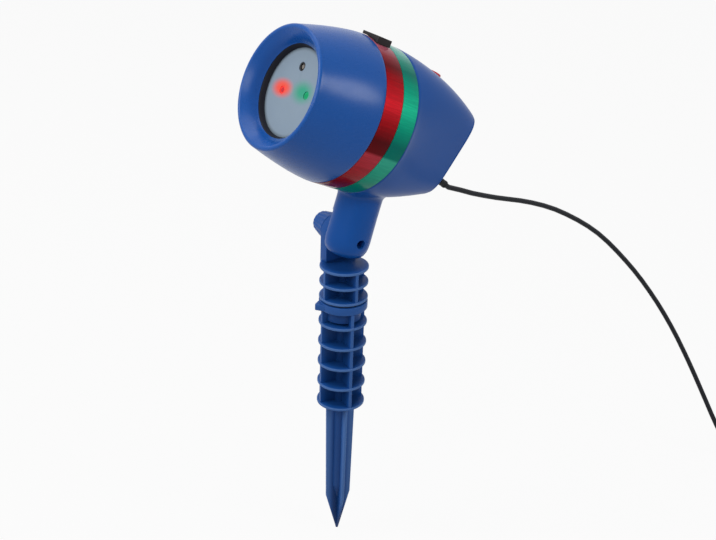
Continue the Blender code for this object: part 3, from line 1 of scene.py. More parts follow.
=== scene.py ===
"""Dressed scene of a laser star projector on its two-part ground stake.

Each sub-assembly is a class that holds its sizes in millimetres, models its pieces with Blender's
operators and dresses them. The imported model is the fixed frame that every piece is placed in.
"""

import logging
import math
from collections.abc import Callable, Sequence
from dataclasses import dataclass, field
from enum import Enum

import bmesh
import bpy
from mathutils import Matrix, Vector
from mathutils.bvhtree import BVHTree


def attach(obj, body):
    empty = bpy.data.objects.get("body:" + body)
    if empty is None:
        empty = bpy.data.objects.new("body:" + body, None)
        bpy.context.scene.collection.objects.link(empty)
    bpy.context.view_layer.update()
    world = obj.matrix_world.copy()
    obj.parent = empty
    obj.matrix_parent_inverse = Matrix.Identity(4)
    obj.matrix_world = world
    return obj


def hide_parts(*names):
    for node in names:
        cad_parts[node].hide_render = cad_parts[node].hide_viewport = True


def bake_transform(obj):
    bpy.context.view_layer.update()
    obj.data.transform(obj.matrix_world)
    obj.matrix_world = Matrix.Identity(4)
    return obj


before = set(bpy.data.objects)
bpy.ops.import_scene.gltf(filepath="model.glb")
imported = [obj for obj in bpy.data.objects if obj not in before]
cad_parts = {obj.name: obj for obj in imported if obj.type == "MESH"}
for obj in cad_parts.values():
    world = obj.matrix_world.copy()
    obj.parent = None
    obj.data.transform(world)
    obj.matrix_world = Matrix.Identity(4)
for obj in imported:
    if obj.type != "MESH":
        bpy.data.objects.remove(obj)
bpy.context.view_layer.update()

logging.basicConfig(level=logging.INFO, format="%(name)s: %(message)s")
LOG = logging.getLogger("projector")

MM = 0.001
Triple = tuple[float, float, float]
Rgb = Triple
Span = tuple[float, float]
Profile = Sequence[Span]
Piece = bpy.types.Object


def turn(degrees: float, axis: str) -> Matrix:
    """Return a rotation about one axis."""
    return Matrix.Rotation(math.radians(degrees), 4, axis)


def shift(x: float, y: float, z: float) -> Matrix:
    """Return a move by millimetres."""
    return Matrix.Translation(Vector((x, y, z)) * MM)


HOME = Matrix.Identity(4)
WHITE = (1.0, 1.0, 1.0, 1.0)

# Main places and angles of the object, in millimetres and degrees.
PIVOT = Vector((0.0, 2.5, 237.96))
BAND_FRONT = (0.0, -53.65, 79.4)
BAND_RADIUS = 50.3
REAR_FRONT = -28.2
REAR_LENGTH = 64.5
COVER_DROP = 2.4
COVER_LEAN = 12.9
RELIEF_DOWN = 15.8
BUTTON_UP = 45.5
BUTTON_BACK = 41.5
LASER_X = 13.0

STAKE_FRAME = turn(-9.0, "Z")
TILT_FRAME = shift(*PIVOT) @ turn(-25.1, "X")
NECK_FRAME = TILT_FRAME @ turn(7.5, "X")
KNOB_FRAME = shift(*PIVOT) @ turn(-90.0, "Y")
OPTICAL_FRAME = TILT_FRAME @ shift(*BAND_FRONT) @ turn(90.0, "X")
PLATE_FRAME = OPTICAL_FRAME @ turn(7.0, "Z")
COVER_PLACE = shift(0, -COVER_DROP, REAR_FRONT - REAR_LENGTH)
COVER_FRAME = OPTICAL_FRAME @ COVER_PLACE @ turn(180.0 - COVER_LEAN, "X")
BUTTON_FRAME = OPTICAL_FRAME @ shift(0, BUTTON_UP, REAR_FRONT - BUTTON_BACK) @ turn(-98.0, "X")


class Body(Enum):
    """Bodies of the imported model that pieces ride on."""

    LOWER = "lower_stake"
    UPPER = "upper_stake"
    KNOB = "tilt_knob"
    BUTTON = "mode_button"
    HEAD = "head"


class Slot(Enum):
    """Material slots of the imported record."""

    CASE = "blue_case"
    STAKE = "blue_stake"
    RED = "red_gloss"
    GREEN = "green_gloss"
    PLATE = "grey_plate"
    PLASTIC = "black_plastic"
    RUBBER = "black_rubber"
    RED_LENS = "red_lens"
    GREEN_LENS = "green_lens"
    GLASS = "glass"
    BRASS = "brass"
    ALUMINIUM = "aluminium"
    STEEL = "steel"
    BOARD = "board_green"
    CELL = "cell"


class Signal:
    """A shader socket that takes part in Python arithmetic."""

    def __init__(self, graph: "Graph", socket: bpy.types.NodeSocket) -> None:
        """Hold the socket and the graph that it belongs to."""
        self.graph = graph
        self.socket = socket

    def _math(self, operation: str, *values: "Signal | float") -> "Signal":
        """Add a Math node.

        Args:
            operation: The Math node's operation.
            values: Its inputs, in order.

        Returns:
            The node's value.
        """
        node = self.graph.node("ShaderNodeMath", {"operation": operation}, dict(enumerate(values)))
        return Signal(self.graph, node.outputs[0])

    def __add__(self, other: "Signal | float") -> "Signal":
        """Return self + other."""
        return self._math("ADD", self, other)

    def __radd__(self, other: float) -> "Signal":
        """Return other + self."""
        return self._math("ADD", other, self)

    def __sub__(self, other: "Signal | float") -> "Signal":
        """Return self - other."""
        return self._math("SUBTRACT", self, other)

    def __rsub__(self, other: float) -> "Signal":
        """Return other - self."""
        return self._math("SUBTRACT", other, self)

    def __mul__(self, other: "Signal | float") -> "Signal":
        """Return self * other."""
        return self._math("MULTIPLY", self, other)

    def __rmul__(self, other: float) -> "Signal":
        """Return other * self."""
        return self._math("MULTIPLY", other, self)

    def __pow__(self, other: "Signal | float") -> "Signal":
        """Return self ** other."""
        return self._math("POWER", self, other)

    def sine(self) -> "Signal":
        """Return the sine."""
        return self._math("SINE", self)

    def angle_to(self, other: "Signal") -> "Signal":
        """Return atan2(self, other)."""
        return self._math("ARCTAN2", self, other)

    def clamped(self) -> "Signal":
        """Return the value held between 0 and 1."""
        return self._math("MINIMUM", self._math("MAXIMUM", self, 0.0), 1.0)

    def eased(self, low: float, high: float) -> "Signal":
        """Return 0 below low and 1 above high, with a smooth step between.

        Args:
            low: Value that gives 0.
            high: Value that gives 1.

        Returns:
            The eased value.
        """
        node = self.graph.node(
            "ShaderNodeMapRange",
            {"interpolation_type": "SMOOTHSTEP"},
            {"Value": self, "From Min": low, "From Max": high, "To Min": 0.0, "To Max": 1.0},
        )
        return Signal(self.graph, node.outputs[0])

    def past(self, low_mm: float, high_mm: float) -> "Signal":
        """Return 0 below one length and 1 above another, for a value in metres."""
        return self.eased(low_mm * MM, high_mm * MM)

    def between(self, rise_mm: Span, fall_mm: Span) -> "Signal":
        """Return 1 between two eased slopes and 0 outside them, for a value in metres."""
        return self.past(*rise_mm) * (1.0 - self.past(*fall_mm))

    def outside(self, near_mm: float, far_mm: float) -> "Signal":
        """Return 0 inside one radius and 1 outside another, for a squared distance."""
        return self.eased((near_mm * MM) ** 2, (far_mm * MM) ** 2)


class Graph:
    """A material's node tree with one way to add nodes."""

    def __init__(self, name: str) -> None:
        """Make an empty material with a Principled shader.

        Args:
            name: The material's name.
        """
        self.material = bpy.data.materials.new(name)
        self.material.use_nodes = True
        self.tree = self.material.node_tree
        self.shader = self.tree.nodes["Principled BSDF"]
        self._point: Signal | None = None

    def node(
        self, kind: str, settings: dict | None = None, inputs: dict | None = None
    ) -> bpy.types.Node:
        """Add a node.

        Args:
            kind: The node's type name.
            settings: Properties that are set first; "stops" fills a colour ramp.
            inputs: Values or signals by socket name or number.

        Returns:
            The new node.
        """
        made = self.tree.nodes.new(kind)
        for key, value in (settings or {}).items():
            if key == "stops":
                self._fill_ramp(made, value)
            else:
                setattr(made, key, value)
        for key, value in (inputs or {}).items():
            self.feed(made.inputs[key], value)
        return made

    @staticmethod
    def _fill_ramp(ramp: bpy.types.Node, stops: Sequence[tuple[float, Rgb]]) -> None:
        """Set a colour ramp's stops.

        Args:
            ramp: The ramp's node.
            stops: Place from 0 to 1 and colour of each stop.
        """
        elements = ramp.color_ramp.elements
        while len(elements) > 1:
            elements.remove(elements[-1])
        for i, (place, colour) in enumerate(stops):
            stop = elements[0] if i == 0 else elements.new(place)
            stop.position = place
            stop.color = (*colour, 1.0)

    def feed(self, socket: bpy.types.NodeSocket, value: object) -> None:
        """Link a signal to a socket, or set the socket's own value.

        Args:
            socket: The input.
            value: A signal, a colour, a vector or a number.
        """
        if isinstance(value, Signal):
            self.tree.links.new(value.socket, socket)
        elif isinstance(value, tuple) and len(value) == 3 and socket.type == "RGBA":
            socket.default_value = (*value, 1.0)
        else:
            socket.default_value = value

    def point(self) -> Signal:
        """Add the surface point once, in the object's own metres.

        Returns:
            The point.
        """
        if self._point is None:
            self._point = Signal(self, self.node("ShaderNodeTexCoord").outputs["Object"])
        return self._point

    def placed(self, matrix: Matrix) -> Signal:
        """Return the surface point in a frame given by a matrix.

        Args:
            matrix: The frame's place in the object's metres.

        Returns:
            The point as seen from that frame.
        """
        place = matrix.inverted()
        node = self.node(
            "ShaderNodeMapping",
            {"vector_type": "POINT"},
            {
                "Vector": self.point(),
                "Location": tuple(place.to_translation()),
                "Rotation": tuple(place.to_euler()),
            },
        )
        return Signal(self, node.outputs[0])

    def stretched(self, vector: Signal, scale: Triple) -> Signal:
        """Return a point with each axis scaled."""
        node = self.node("ShaderNodeVectorMath", {"operation": "MULTIPLY"}, {0: vector, 1: scale})
        return Signal(self, node.outputs[0])

    def parts(self, vector: Signal) -> tuple[Signal, Signal, Signal]:
        """Return the three coordinates of a point."""
        node = self.node("ShaderNodeSeparateXYZ", None, {0: vector})
        return tuple(Signal(self, output) for output in node.outputs)

    def noise(
        self, vector: Signal, size_mm: float, detail: float = 2.0, rough: float = 0.5
    ) -> Signal:
        """Return noise from 0 to 1 with features of a size.

        Args:
            vector: The point that it reads.
            size_mm: Size of its features.
            detail: Number of octaves.
            rough: Share of each further octave.

        Returns:
            The noise value.
        """
        node = self.node(
            "ShaderNodeTexNoise",
            None,
            {"Vector": vector, "Scale": 1.0 / (size_mm * MM), "Detail": detail, "Roughness": rough},
        )
        return Signal(self, node.outputs[0])

    def distance(self, vector: Signal, place: Vector) -> Signal:
        """Measure how far a point is from a place.

        Args:
            vector: The point.
            place: The place in metres.

        Returns:
            The distance in metres.
        """
        node = self.node(
            "ShaderNodeVectorMath", {"operation": "DISTANCE"}, {0: vector, 1: tuple(place)}
        )
        return Signal(self, node.outputs["Value"])

    def blend(self, share: Signal, first: object, second: object) -> Signal:
        """Return a mix of two colours.

        Args:
            share: How much of the second colour is used.
            first: Colour or signal at share 0.
            second: Colour or signal at share 1.

        Returns:
            The mixed colour.
        """
        node = self.node("ShaderNodeMix", {"data_type": "RGBA"}, {0: share, 6: first, 7: second})
        return Signal(self, node.outputs[2])

    def bump(
        self, height: Signal, depth_mm: float, strength: float, under: Signal | None = None
    ) -> Signal:
        """Return a normal bent by a height.

        Args:
            height: Height from 0 to 1.
            depth_mm: What height 1 stands proud.
            strength: Share of the effect.
            under: Normal of a coarser bump that this one lies on.

        Returns:
            The bent normal.
        """
        inputs = {"Height": height, "Distance": depth_mm * MM, "Strength": strength}
        if under is not None:
            inputs["Normal"] = under
        return Signal(self, self.node("ShaderNodeBump", None, inputs).outputs[0])

    def finish(
        self, colour: Signal, rough: Signal, normal: Signal | None, others: dict[str, object]
    ) -> bpy.types.Material:
        """Feed the Principled shader.

        Args:
            colour: Base colour.
            rough: Roughness.
            normal: Bent normal, or None for a smooth surface.
            others: Values or signals of further sockets by name.

        Returns:
            The finished material.
        """
        inputs = {**others, "Base Color": colour, "Roughness": rough}
        if normal is not None:
            inputs["Normal"] = normal
        for name, value in inputs.items():
            self.feed(self.shader.inputs[name], value)
        return self.material


def screen(*levels: int) -> Rgb:
    """Return the linear colour of red, green and blue screen values from 0 to 255."""
    shares = [level / 255 for level in levels]
    return tuple(s / 12.92 if s <= 0.04045 else ((s + 0.055) / 1.055) ** 2.4 for s in shares)


def shaded(colour: Rgb, factor: float) -> Rgb:
    """Return a colour made darker or lighter."""
    return tuple(min(1.0, channel * factor) for channel in colour)


def mixed(first: Rgb, second: Rgb, share: float) -> Rgb:
    """Return a colour between two others."""
    return tuple(a + (b - a) * share for a, b in zip(first, second))


# Painted light and painted reflections round a band: angle above its middle, share of the bright
# colour (painted light), share of the pale one (painted reflection).
PAINTED_BAND_LIGHT = (
    (-90, 0.15, 0.0), (-56, 0.12, 0.0), (-42, 0.40, 0.02), (-28, 0.48, 0.08), (-19.8, 0.5, 0.12),
    (-17.6, 0.06, 0.0), (-8, 0.0, 0.0), (5, 0.38, 0.0), (20, 1.0, 0.03), (36, 0.48, 0.0),
    (49, 0.06, 0.0), (59, 0.2, 0.07), (70, 0.35, 0.42), (90, 0.35, 0.42),
)


@dataclass(frozen=True)
class MouldedPlastic:
    """Injection-moulded plastic with a fine eroded grain and slight clouding of its colour."""

    name: str
    colour: Rgb
    roughness: float
    clouding: float = 0.07
    grain_mm: float = 0.35
    grain_depth_mm: float = 0.012
    grain_strength: float = 0.35
    coat: float = 0.0
    gloss: float = 0.2

    def _tone(self, graph: Graph, mottle: Signal) -> Signal:
        """Return the colour, a little darker and lighter from place to place."""
        dark, light = (shaded(self.colour, 1 + self.clouding * sign) for sign in (-1, 1))
        return graph.blend(mottle, dark, light)

    def make(self) -> bpy.types.Material:
        """Wire the finish.

        Returns:
            The material.
        """
        graph = Graph(self.name)
        point = graph.point()
        clouds = graph.noise(point, 26.0, 3.0, 0.55)
        speck = graph.noise(point, self.grain_mm, 2.0, 0.6)
        colour = self._tone(graph, (clouds * 0.75 + speck * 0.25).clamped())
        scuffs = graph.noise(graph.stretched(point, (1.0, 0.35, 1.0)), 5.0, 4.0, 0.65)
        scuffed = scuffs.eased(0.52, 0.72)
        rough = self.roughness - 0.05 + clouds * 0.06 + speck * 0.05 + scuffed * 0.05
        wave = graph.bump(clouds, 0.05, 0.25)
        normal = graph.bump(speck, self.grain_depth_mm, self.grain_strength, wave)
        sheen = {"Coat Weight": self.coat, "Coat Roughness": 0.25, "Specular IOR Level": self.gloss}
        return graph.finish(colour, rough, normal, sheen)


@dataclass(frozen=True)
class StakePlastic(MouldedPlastic):
    """The stake's plastic with painted shade between the ribs and a painted highlight on its outer
    edges; zones in millimetres.
    """

    # Share of painted shade towards the axis, and of painted highlight on the edges, less on the
    # flange.
    painted_shade: float = 0.56
    painted_highlight: float = 0.4
    highlight_on_flange: float = 0.25
    ribbed: tuple[Span, Span] = ((110.5, 112.5), (219.0, 220.5))
    flange: tuple[Span, Span] = ((185.8, 186.2), (192.2, 192.6))
    spike: Span = (109.5, 111.5)
    body_root: Span = (10.5, 16.6)
    body_edge: Span = (15.8, 16.8)
    spike_root: Span = (2.0, 6.8)
    spike_edge: Span = (3.5, 8.8)

    def _tone(self, graph: Graph, mottle: Signal) -> Signal:
        """Return the colour, with painted shade towards the stake's axis and a painted highlight on
        its edges.

        Args:
            graph: The material's nodes.
            mottle: Clouding from 0 to 1.

        Returns:
            The colour.
        """
        plain = super()._tone(graph, mottle)
        x, y, z = graph.parts(graph.point())
        away = x * x + y * y
        ribbed = z.between(*self.ribbed)
        spike = 1.0 - z.past(*self.spike)
        flange = z.between(*self.flange)
        # Painted shade: darker between the ribs and at the spike's root, where shade falls.
        root = (1.0 - away.outside(*self.body_root)) * ribbed
        root = root + (1.0 - away.outside(*self.spike_root)) * spike
        dark = graph.blend(root * self.painted_shade, plain, shaded(self.colour, 0.2))
        # Painted highlight: lighter on the outer edges of ribs, discs and spike, less on the
        # flange.
        edge = away.outside(*self.body_edge) * ribbed * (1.0 - flange * (1 - self.highlight_on_flange))
        edge = edge + away.outside(*self.spike_edge) * spike
        return graph.blend(edge * self.painted_highlight, dark, mixed(self.colour, (0.3, 0.5, 0.8), 0.5))


@dataclass(frozen=True)
class TintedBand:
    """Glossy tinted plastic band whose depth shows fine lines along the optical axis, with painted
    light and painted reflections in zones round it.
    """

    name: str
    deep: Rgb
    bright: Rgb
    pale: Rgb
    roughness: float = 0.12

    def make(self) -> bpy.types.Material:
        """Wire the finish.

        Returns:
            The material.
        """
        graph = Graph(self.name)
        local = graph.placed(OPTICAL_FRAME)
        x, y, _ = graph.parts(local)
        around = y.angle_to(x)
        height = y.angle_to((x * x) ** 0.5) * (1 / math.pi) + 0.5
        # Ramp of painted light and painted reflections by angle round the band.
        stops = [
            ((degrees + 90) / 180, mixed(mixed(self.deep, self.bright, bright), self.pale, pale))
            for degrees, bright, pale in PAINTED_BAND_LIGHT
        ]
        ramp = graph.node("ShaderNodeValToRGB", {"stops": stops}, {"Fac": height})
        lines = graph.noise(graph.stretched(local, (1.0, 1.0, 0.05)), 0.9, 2.0, 0.6)
        streaks = lines.eased(0.35, 0.75)
        depth = graph.noise(graph.stretched(local, (1.0, 1.0, 0.15)), 24.0)
        share = ((1.0 - streaks) * 0.26 + (depth - 0.4) * 0.5).clamped()
        colour = graph.blend(share, Signal(graph, ramp.outputs["Color"]), self.deep)
        rough = self.roughness + streaks * 0.05
        normal = graph.bump((around * 150.0).sine() * 0.5 + 0.5, 0.02, 0.12)
        return graph.finish(colour, rough, normal, {"Specular IOR Level": 0.05})


@dataclass(frozen=True)
class Halo:
    """Coloured light spill round an aperture: place, radii and width for height in millimetres."""

    x: float
    y: float
    reach: float
    core: float
    colour: Rgb
    strength: float
    wide: float


@dataclass(frozen=True)
class PaintedPlate:
    """Matt grey plate with the spill of the two lasers round their apertures and painted shade
    round its rim.
    """

    name: str
    colour: Rgb
    halos: tuple[Halo, ...]
    # Radii and share of the painted shade round the plate's rim.
    rim_shade: Span = (26.6, 29.7)
    rim_shade_depth: float = 0.66

    def make(self) -> bpy.types.Material:
        """Wire the finish.

        Returns:
            The material.
        """
        graph = Graph(self.name)
        local = graph.placed(PLATE_FRAME)
        x, y, _ = graph.parts(local)
        speck = graph.noise(local, 0.4, 2.0, 0.6)
        clouds = graph.noise(local, 14.0)
        share = (clouds * 0.6 + speck * 0.4).clamped()
        colour = graph.blend(share, shaded(self.colour, 0.93), shaded(self.colour, 1.06))
        for halo in self.halos:
            across = (x - halo.x * MM) * (1 / halo.wide)
            along = y - halo.y * MM
            away = (across * across + along * along) ** 0.5
            spill = (1.0 - away.past(halo.core, halo.reach)) * halo.strength
            colour = graph.blend(spill, colour, halo.colour)
        # Painted shade: the plate darkens towards its rim, where the hood's shadow falls.
        rim_shade = (x * x + y * y).outside(*self.rim_shade) * self.rim_shade_depth
        colour = graph.blend(rim_shade, colour, shaded(self.colour, 0.12))
        normal = graph.bump(speck, 0.01, 0.3)
        return graph.finish(colour, 0.42 + speck * 0.12, normal, {"Specular IOR Level": 0.2})


@dataclass(frozen=True)
class SoftRubber:
    """Matt elastomer with a dusty bloom."""

    name: str
    colour: Rgb
    roughness: float
    grain_mm: float = 0.5
    bloom: float = 0.5

    def make(self) -> bpy.types.Material:
        """Wire the finish.

        Returns:
            The material.
        """
        graph = Graph(self.name)
        point = graph.point()
        clouds = graph.noise(point, 9.0, 3.0, 0.6)
        speck = graph.noise(point, self.grain_mm, 2.0, 0.6)
        dust = clouds.eased(0.45, 0.8) * self.bloom
        colour = graph.blend(dust, self.colour, shaded(self.colour, 1.9))
        rough = self.roughness - 0.05 + speck * 0.08 + dust * 0.1
        normal = graph.bump(speck, 0.02, 0.35)
        return graph.finish(colour, rough, normal, {"Specular IOR Level": 0.2})


@dataclass(frozen=True)
class WorkedMetal:
    """Metal with fine tool marks along one direction."""

    name: str
    colour: Rgb
    roughness: float
    grain: Triple = (1.0, 1.0, 0.08)

    def make(self) -> bpy.types.Material:
        """Wire the finish.

        Returns:
            The material.
        """
        graph = Graph(self.name)
        point = graph.point()
        marks = graph.noise(graph.stretched(point, self.grain), 0.25, 3.0, 0.6)
        stain = graph.noise(point, 7.0, 3.0, 0.6).eased(0.4, 0.8)
        colour = graph.blend(stain * 0.5, self.colour, shaded(self.colour, 0.72))
        rough = self.roughness + marks * 0.12 + stain * 0.08
        return graph.finish(colour, rough, graph.bump(marks, 0.01, 0.25), {"Metallic": 1.0})


@dataclass(frozen=True)
class LaserLens:
    """Small tinted lens, dark in the middle and lit towards its rim."""

    name: str
    x: float
    deep: Rgb
    bright: Rgb
    light: float
    front: float = 32.0
    rim: Span = (1.3, 2.4)

    def make(self) -> bpy.types.Material:
        """Wire the finish.

        Returns:
            The material.
        """
        graph = Graph(self.name)
        local = graph.placed(PLATE_FRAME)
        away = graph.distance(local, Vector((self.x, 0.0, self.front)) * MM)
        swirl = graph.noise(local, 0.8)
        rim = (away.past(*self.rim) + (swirl - 0.5) * 0.3).clamped()
        colour = graph.blend(rim, self.deep, self.bright)
        light = {"Emission Color": colour, "Emission Strength": self.light}
        gloss = {"Specular IOR Level": 0.1}
        return graph.finish(colour, 0.3 + swirl * 0.08, None, {**light, **gloss})


@dataclass(frozen=True)
class CircuitBoard:
    """Solder-masked board with faint tracks."""

    name: str
    colour: Rgb

    def make(self) -> bpy.types.Material:
        """Wire the finish.

        Returns:
            The material.
        """
        graph = Graph(self.name)
        local = graph.placed(OPTICAL_FRAME)
        cells = graph.node(
            "ShaderNodeTexVoronoi",
            {"feature": "DISTANCE_TO_EDGE"},
            {"Vector": local, "Scale": 320.0},
        )
        track = 1.0 - Signal(graph, cells.outputs[0]).eased(0.02, 0.09)
        speck = graph.noise(local, 0.6)
        colour = graph.blend(track * 0.6, self.colour, shaded(self.colour, 1.8))
        normal = graph.bump(track, 0.03, 0.4)
        return graph.finish(colour, 0.32 + speck * 0.14, normal, {"IOR": 1.5})


@dataclass(frozen=True)
class ClearPane:
    """Thin clear plastic pane, cut with fine lines."""

    name: str
    colour: Rgb

    def make(self) -> bpy.types.Material:
        """Wire the finish.

        Returns:
            The material.
        """
        graph = Graph(self.name)
        lines = graph.noise(graph.stretched(graph.point(), (1.0, 0.1, 1.0)), 0.2)
        colour = graph.blend(lines, shaded(self.colour, 0.85), self.colour)
        normal = graph.bump(lines, 0.01, 0.3)
        clear = {"Transmission Weight": 0.7, "IOR": 1.5}
        return graph.finish(colour, 0.04 + lines * 0.1, normal, clear)


class Finishes:
    """All finishes of the projector, each made once."""

    def __init__(self) -> None:
        """Make every material."""
        # The rear casing takes a slightly darker copy of the case blue as painted shade.
        blue, rear_blue_shaded = screen(16, 84, 166), screen(16, 79, 158)
        self.case = MouldedPlastic("case_blue_satin", blue, 0.27, gloss=0.25).make()
        self.rear = MouldedPlastic("rear_blue_shaded_satin", rear_blue_shaded, 0.3, gloss=0.16).make()
        self.stake = StakePlastic("stake_blue_satin", screen(26, 80, 154), 0.4, gloss=0.16).make()
        # Band colours: deep, bright for painted light, pale for painted reflections.
        self.red = TintedBand(
            "band_red_gloss", screen(88, 6, 14), screen(255, 26, 40), screen(228, 160, 186)
        ).make()
        self.green = TintedBand(
            "band_green_gloss", screen(0, 112, 100), screen(20, 222, 168), screen(176, 244, 242)
        ).make()
        halos = (
            Halo(-13.6, 1.2, 7.9, 2.2, screen(252, 92, 74), 1.0, 1.75),
            Halo(8.6, 1.4, 9.8, 1.2, screen(44, 164, 128), 0.95, 1.5),
        )
        self.plate = PaintedPlate("plate_grey_matt", screen(140, 157, 172), halos).make()
        coarse = {"grain_mm": 1.2, "grain_depth_mm": 0.05, "grain_strength": 0.6}
        fine = {"grain_mm": 0.4, "grain_depth_mm": 0.01, "grain_strength": 0.25}
        black, red = screen(30, 24, 26), screen(196, 24, 44)
        self.window = MouldedPlastic("window_black", black, 0.32, 0.2, **coarse).make()
        self.button = MouldedPlastic("button_red", red, 0.28, 0.1, **fine, coat=0.3).make()
        self.plastic = MouldedPlastic(
            "plastic_black", screen(26, 27, 30), 0.38, clouding=0.15
        ).make()
        self.rubber = SoftRubber("rubber_black", screen(20, 21, 24), 0.62).make()
        self.gasket = SoftRubber("gasket_black", screen(18, 20, 30), 0.55).make()
        self.jacket = SoftRubber(
            "cord_jacket_black", screen(20, 23, 29), 0.42, grain_mm=0.7, bloom=0.35
        ).make()
        self.red_lens = LaserLens(
            "lens_red", -LASER_X, screen(176, 40, 44), screen(236, 66, 60), 0.45
        ).make()
        self.green_lens = LaserLens(
            "lens_green", LASER_X, screen(10, 146, 90), screen(36, 158, 114), 0.25
        ).make()
        self.glass = ClearPane("grating_clear", screen(214, 226, 230)).make()
        self.brass = WorkedMetal("brass_turned", screen(196, 160, 84), 0.22).make()
        self.aluminium = WorkedMetal(
            "aluminium_milled", screen(188, 190, 193), 0.3, grain=(0.1, 1.0, 1.0)
        ).make()
        self.steel = WorkedMetal("steel_plated", screen(172, 174, 176), 0.22).make()
        self.board = CircuitBoard("board_solder_mask", screen(24, 96, 60)).make()
        self.cell = SoftRubber(
            "light_cell_resin", screen(132, 126, 118), 0.3, grain_mm=0.4, bloom=0.2
        ).make()


class Bench:
    """Operator steps that the sub-assemblies share."""

    @staticmethod
    def start(add: Callable, name: str, **settings: object) -> Piece:
        """Add a primitive with nothing else selected.

        Args:
            add: The operator that adds it.
            name: The new object's name.
            settings: The operator's settings.

        Returns:
            The new object.
        """
        bpy.ops.object.select_all(action="DESELECT")
        add(**settings)
        made = bpy.context.active_object
        made.name = name
        made.data.name = name
        return made

    @staticmethod
    def only(piece: Piece) -> None:
        """Select one object and make it active.

        Args:
            piece: The object.
        """
        bpy.ops.object.select_all(action="DESELECT")
        piece.select_set(True)
        bpy.context.view_layer.objects.active = piece

    @staticmethod
    def outline(name: str, points: Profile, place: Callable, close: bool) -> Piece:
        """Draw an outline by extruding one vertex from point to point, and stay in edit mode.

        Args:
            name: The new object's name.
            points: Pairs of millimetres.
            place: Turns a pair into a place in space.
            close: Whether the last point is joined to the first.

        Returns:
            The object, in edit mode, with all of it selected.
        """
        made = Bench.start(bpy.ops.mesh.primitive_plane_add, name, size=MM)
        spots = [Vector(place(*point)) * MM for point in points]
        bpy.ops.object.mode_set(mode="EDIT")
        bpy.ops.mesh.select_all(action="SELECT")
        bpy.ops.mesh.merge(type="CENTER")
        bpy.ops.transform.translate(value=spots[0])
        for before, after in zip(spots, spots[1:]):
            bpy.ops.mesh.extrude_vertices_move(TRANSFORM_OT_translate={"value": after - before})
        if close:
            edit = bmesh.from_edit_mesh(made.data)
            for end in (spots[0], spots[-1]):
                min(edit.verts, key=lambda v: (v.co - end).length).select_set(True)
            bmesh.update_edit_mesh(made.data)
            bpy.ops.mesh.edge_face_add()
        bpy.ops.mesh.select_all(action="SELECT")
        return made

    @staticmethod
    def spun(name: str, profile: Profile, steps: int, matrix: Matrix, angle: float = 35.0) -> Piece:
        """Spin a profile of radius and height round the local Z.

        Args:
            name: The new object's name.
            profile: Radius and height in millimetres.
            steps: Number of steps in a full turn.
            matrix: The local frame.
            angle: Edges sharper than this many degrees stay sharp.

        Returns:
            The finished mesh at the frame's place.
        """
        open_line = profile[0][0] == 0 and profile[-1][0] == 0
        made = Bench.outline(name, profile, lambda r, h: (r, 0.0, h), not open_line)
        bpy.ops.mesh.spin(steps=steps, angle=2 * math.pi, center=(0, 0, 0), axis=(0, 0, 1))
        bpy.ops.mesh.select_all(action="SELECT")
        bpy.ops.mesh.remove_doubles(threshold=1e-6)
        bpy.ops.mesh.normals_make_consistent(inside=False)
        bpy.ops.object.mode_set(mode="OBJECT")
        return Bench.settle(made, matrix, angle)

    @staticmethod
    def slab(
        name: str, outline: Profile, low: float, high: float, axis: str, bevel: float
    ) -> Piece:
        """Fill an outline and extrude it to a slab with softened edges.

        Args:
            name: The new object's name.
            outline: Closed outline in millimetres, on the two other axes in their order.
            low: Where the slab starts on the axis.
            high: Where it ends.
            axis: X, Y or Z.
            bevel: Width of the softened edges.

        Returns:
            The slab, not yet placed.
        """
        at = "XYZ".index(axis)
        made = Bench.outline(name, outline, lambda *pair: (*pair[:at], low, *pair[at:]), True)
        bpy.ops.mesh.edge_face_add()
        step = Vector([float(i == at) for i in range(3)]) * (high - low) * MM
        bpy.ops.mesh.extrude_region_move(TRANSFORM_OT_translate={"value": step})
        bpy.ops.mesh.select_all(action="SELECT")
        bpy.ops.mesh.normals_make_consistent(inside=False)
        bpy.ops.object.mode_set(mode="OBJECT")
        if bevel:
            Bench.soften(made, bevel)
        return made

    @staticmethod
    def lofted(
        name: str,
        rings: Sequence[Sequence[Vector]],
        matrix: Matrix,
        caps: tuple[bool, bool],
        angle: float = 40.0,
    ) -> Piece:
        """Extrude a circle from ring to ring, setting each ring's points.

        Args:
            name: The new object's name.
            rings: Rings of points in millimetres.
            matrix: The local frame.
            caps: Whether the first and the last ring are filled.
            angle: Edges sharper than this many degrees stay sharp.

        Returns:
            The finished mesh at the frame's place.
        """
        count = len(rings[0])
        made = Bench.start(bpy.ops.mesh.primitive_circle_add, name, vertices=count, radius=MM)
        bpy.ops.object.mode_set(mode="EDIT")
        edit = bmesh.from_edit_mesh(made.data)
        spot = edit.verts.layers.int.new("spot")
        edit.verts.ensure_lookup_table()
        for i, vert in enumerate(edit.verts):
            vert[spot] = i
        Bench._place_ring(made, rings[0])
        if caps[0]:
            bpy.ops.mesh.edge_face_add()
            bpy.ops.mesh.duplicate()
            bpy.ops.mesh.delete(type="ONLY_FACE")
            edit = bmesh.from_edit_mesh(made.data)
            edit.verts.ensure_lookup_table()
            for vert in edit.verts[count:]:
                vert.select_set(True)
            edit.select_flush(True)
            bmesh.update_edit_mesh(made.data)
        for ring in rings[1:]:
            bpy.ops.mesh.extrude_edges_move()
            Bench._place_ring(made, ring)
        if caps[1]:
            bpy.ops.mesh.edge_face_add()
        bpy.ops.mesh.select_all(action="SELECT")
        bpy.ops.mesh.remove_doubles(threshold=1e-6)
        bpy.ops.mesh.normals_make_consistent(inside=False)
        bpy.ops.object.mode_set(mode="OBJECT")
        made.data.attributes.remove(made.data.attributes["spot"])
        return Bench.settle(made, matrix, angle)

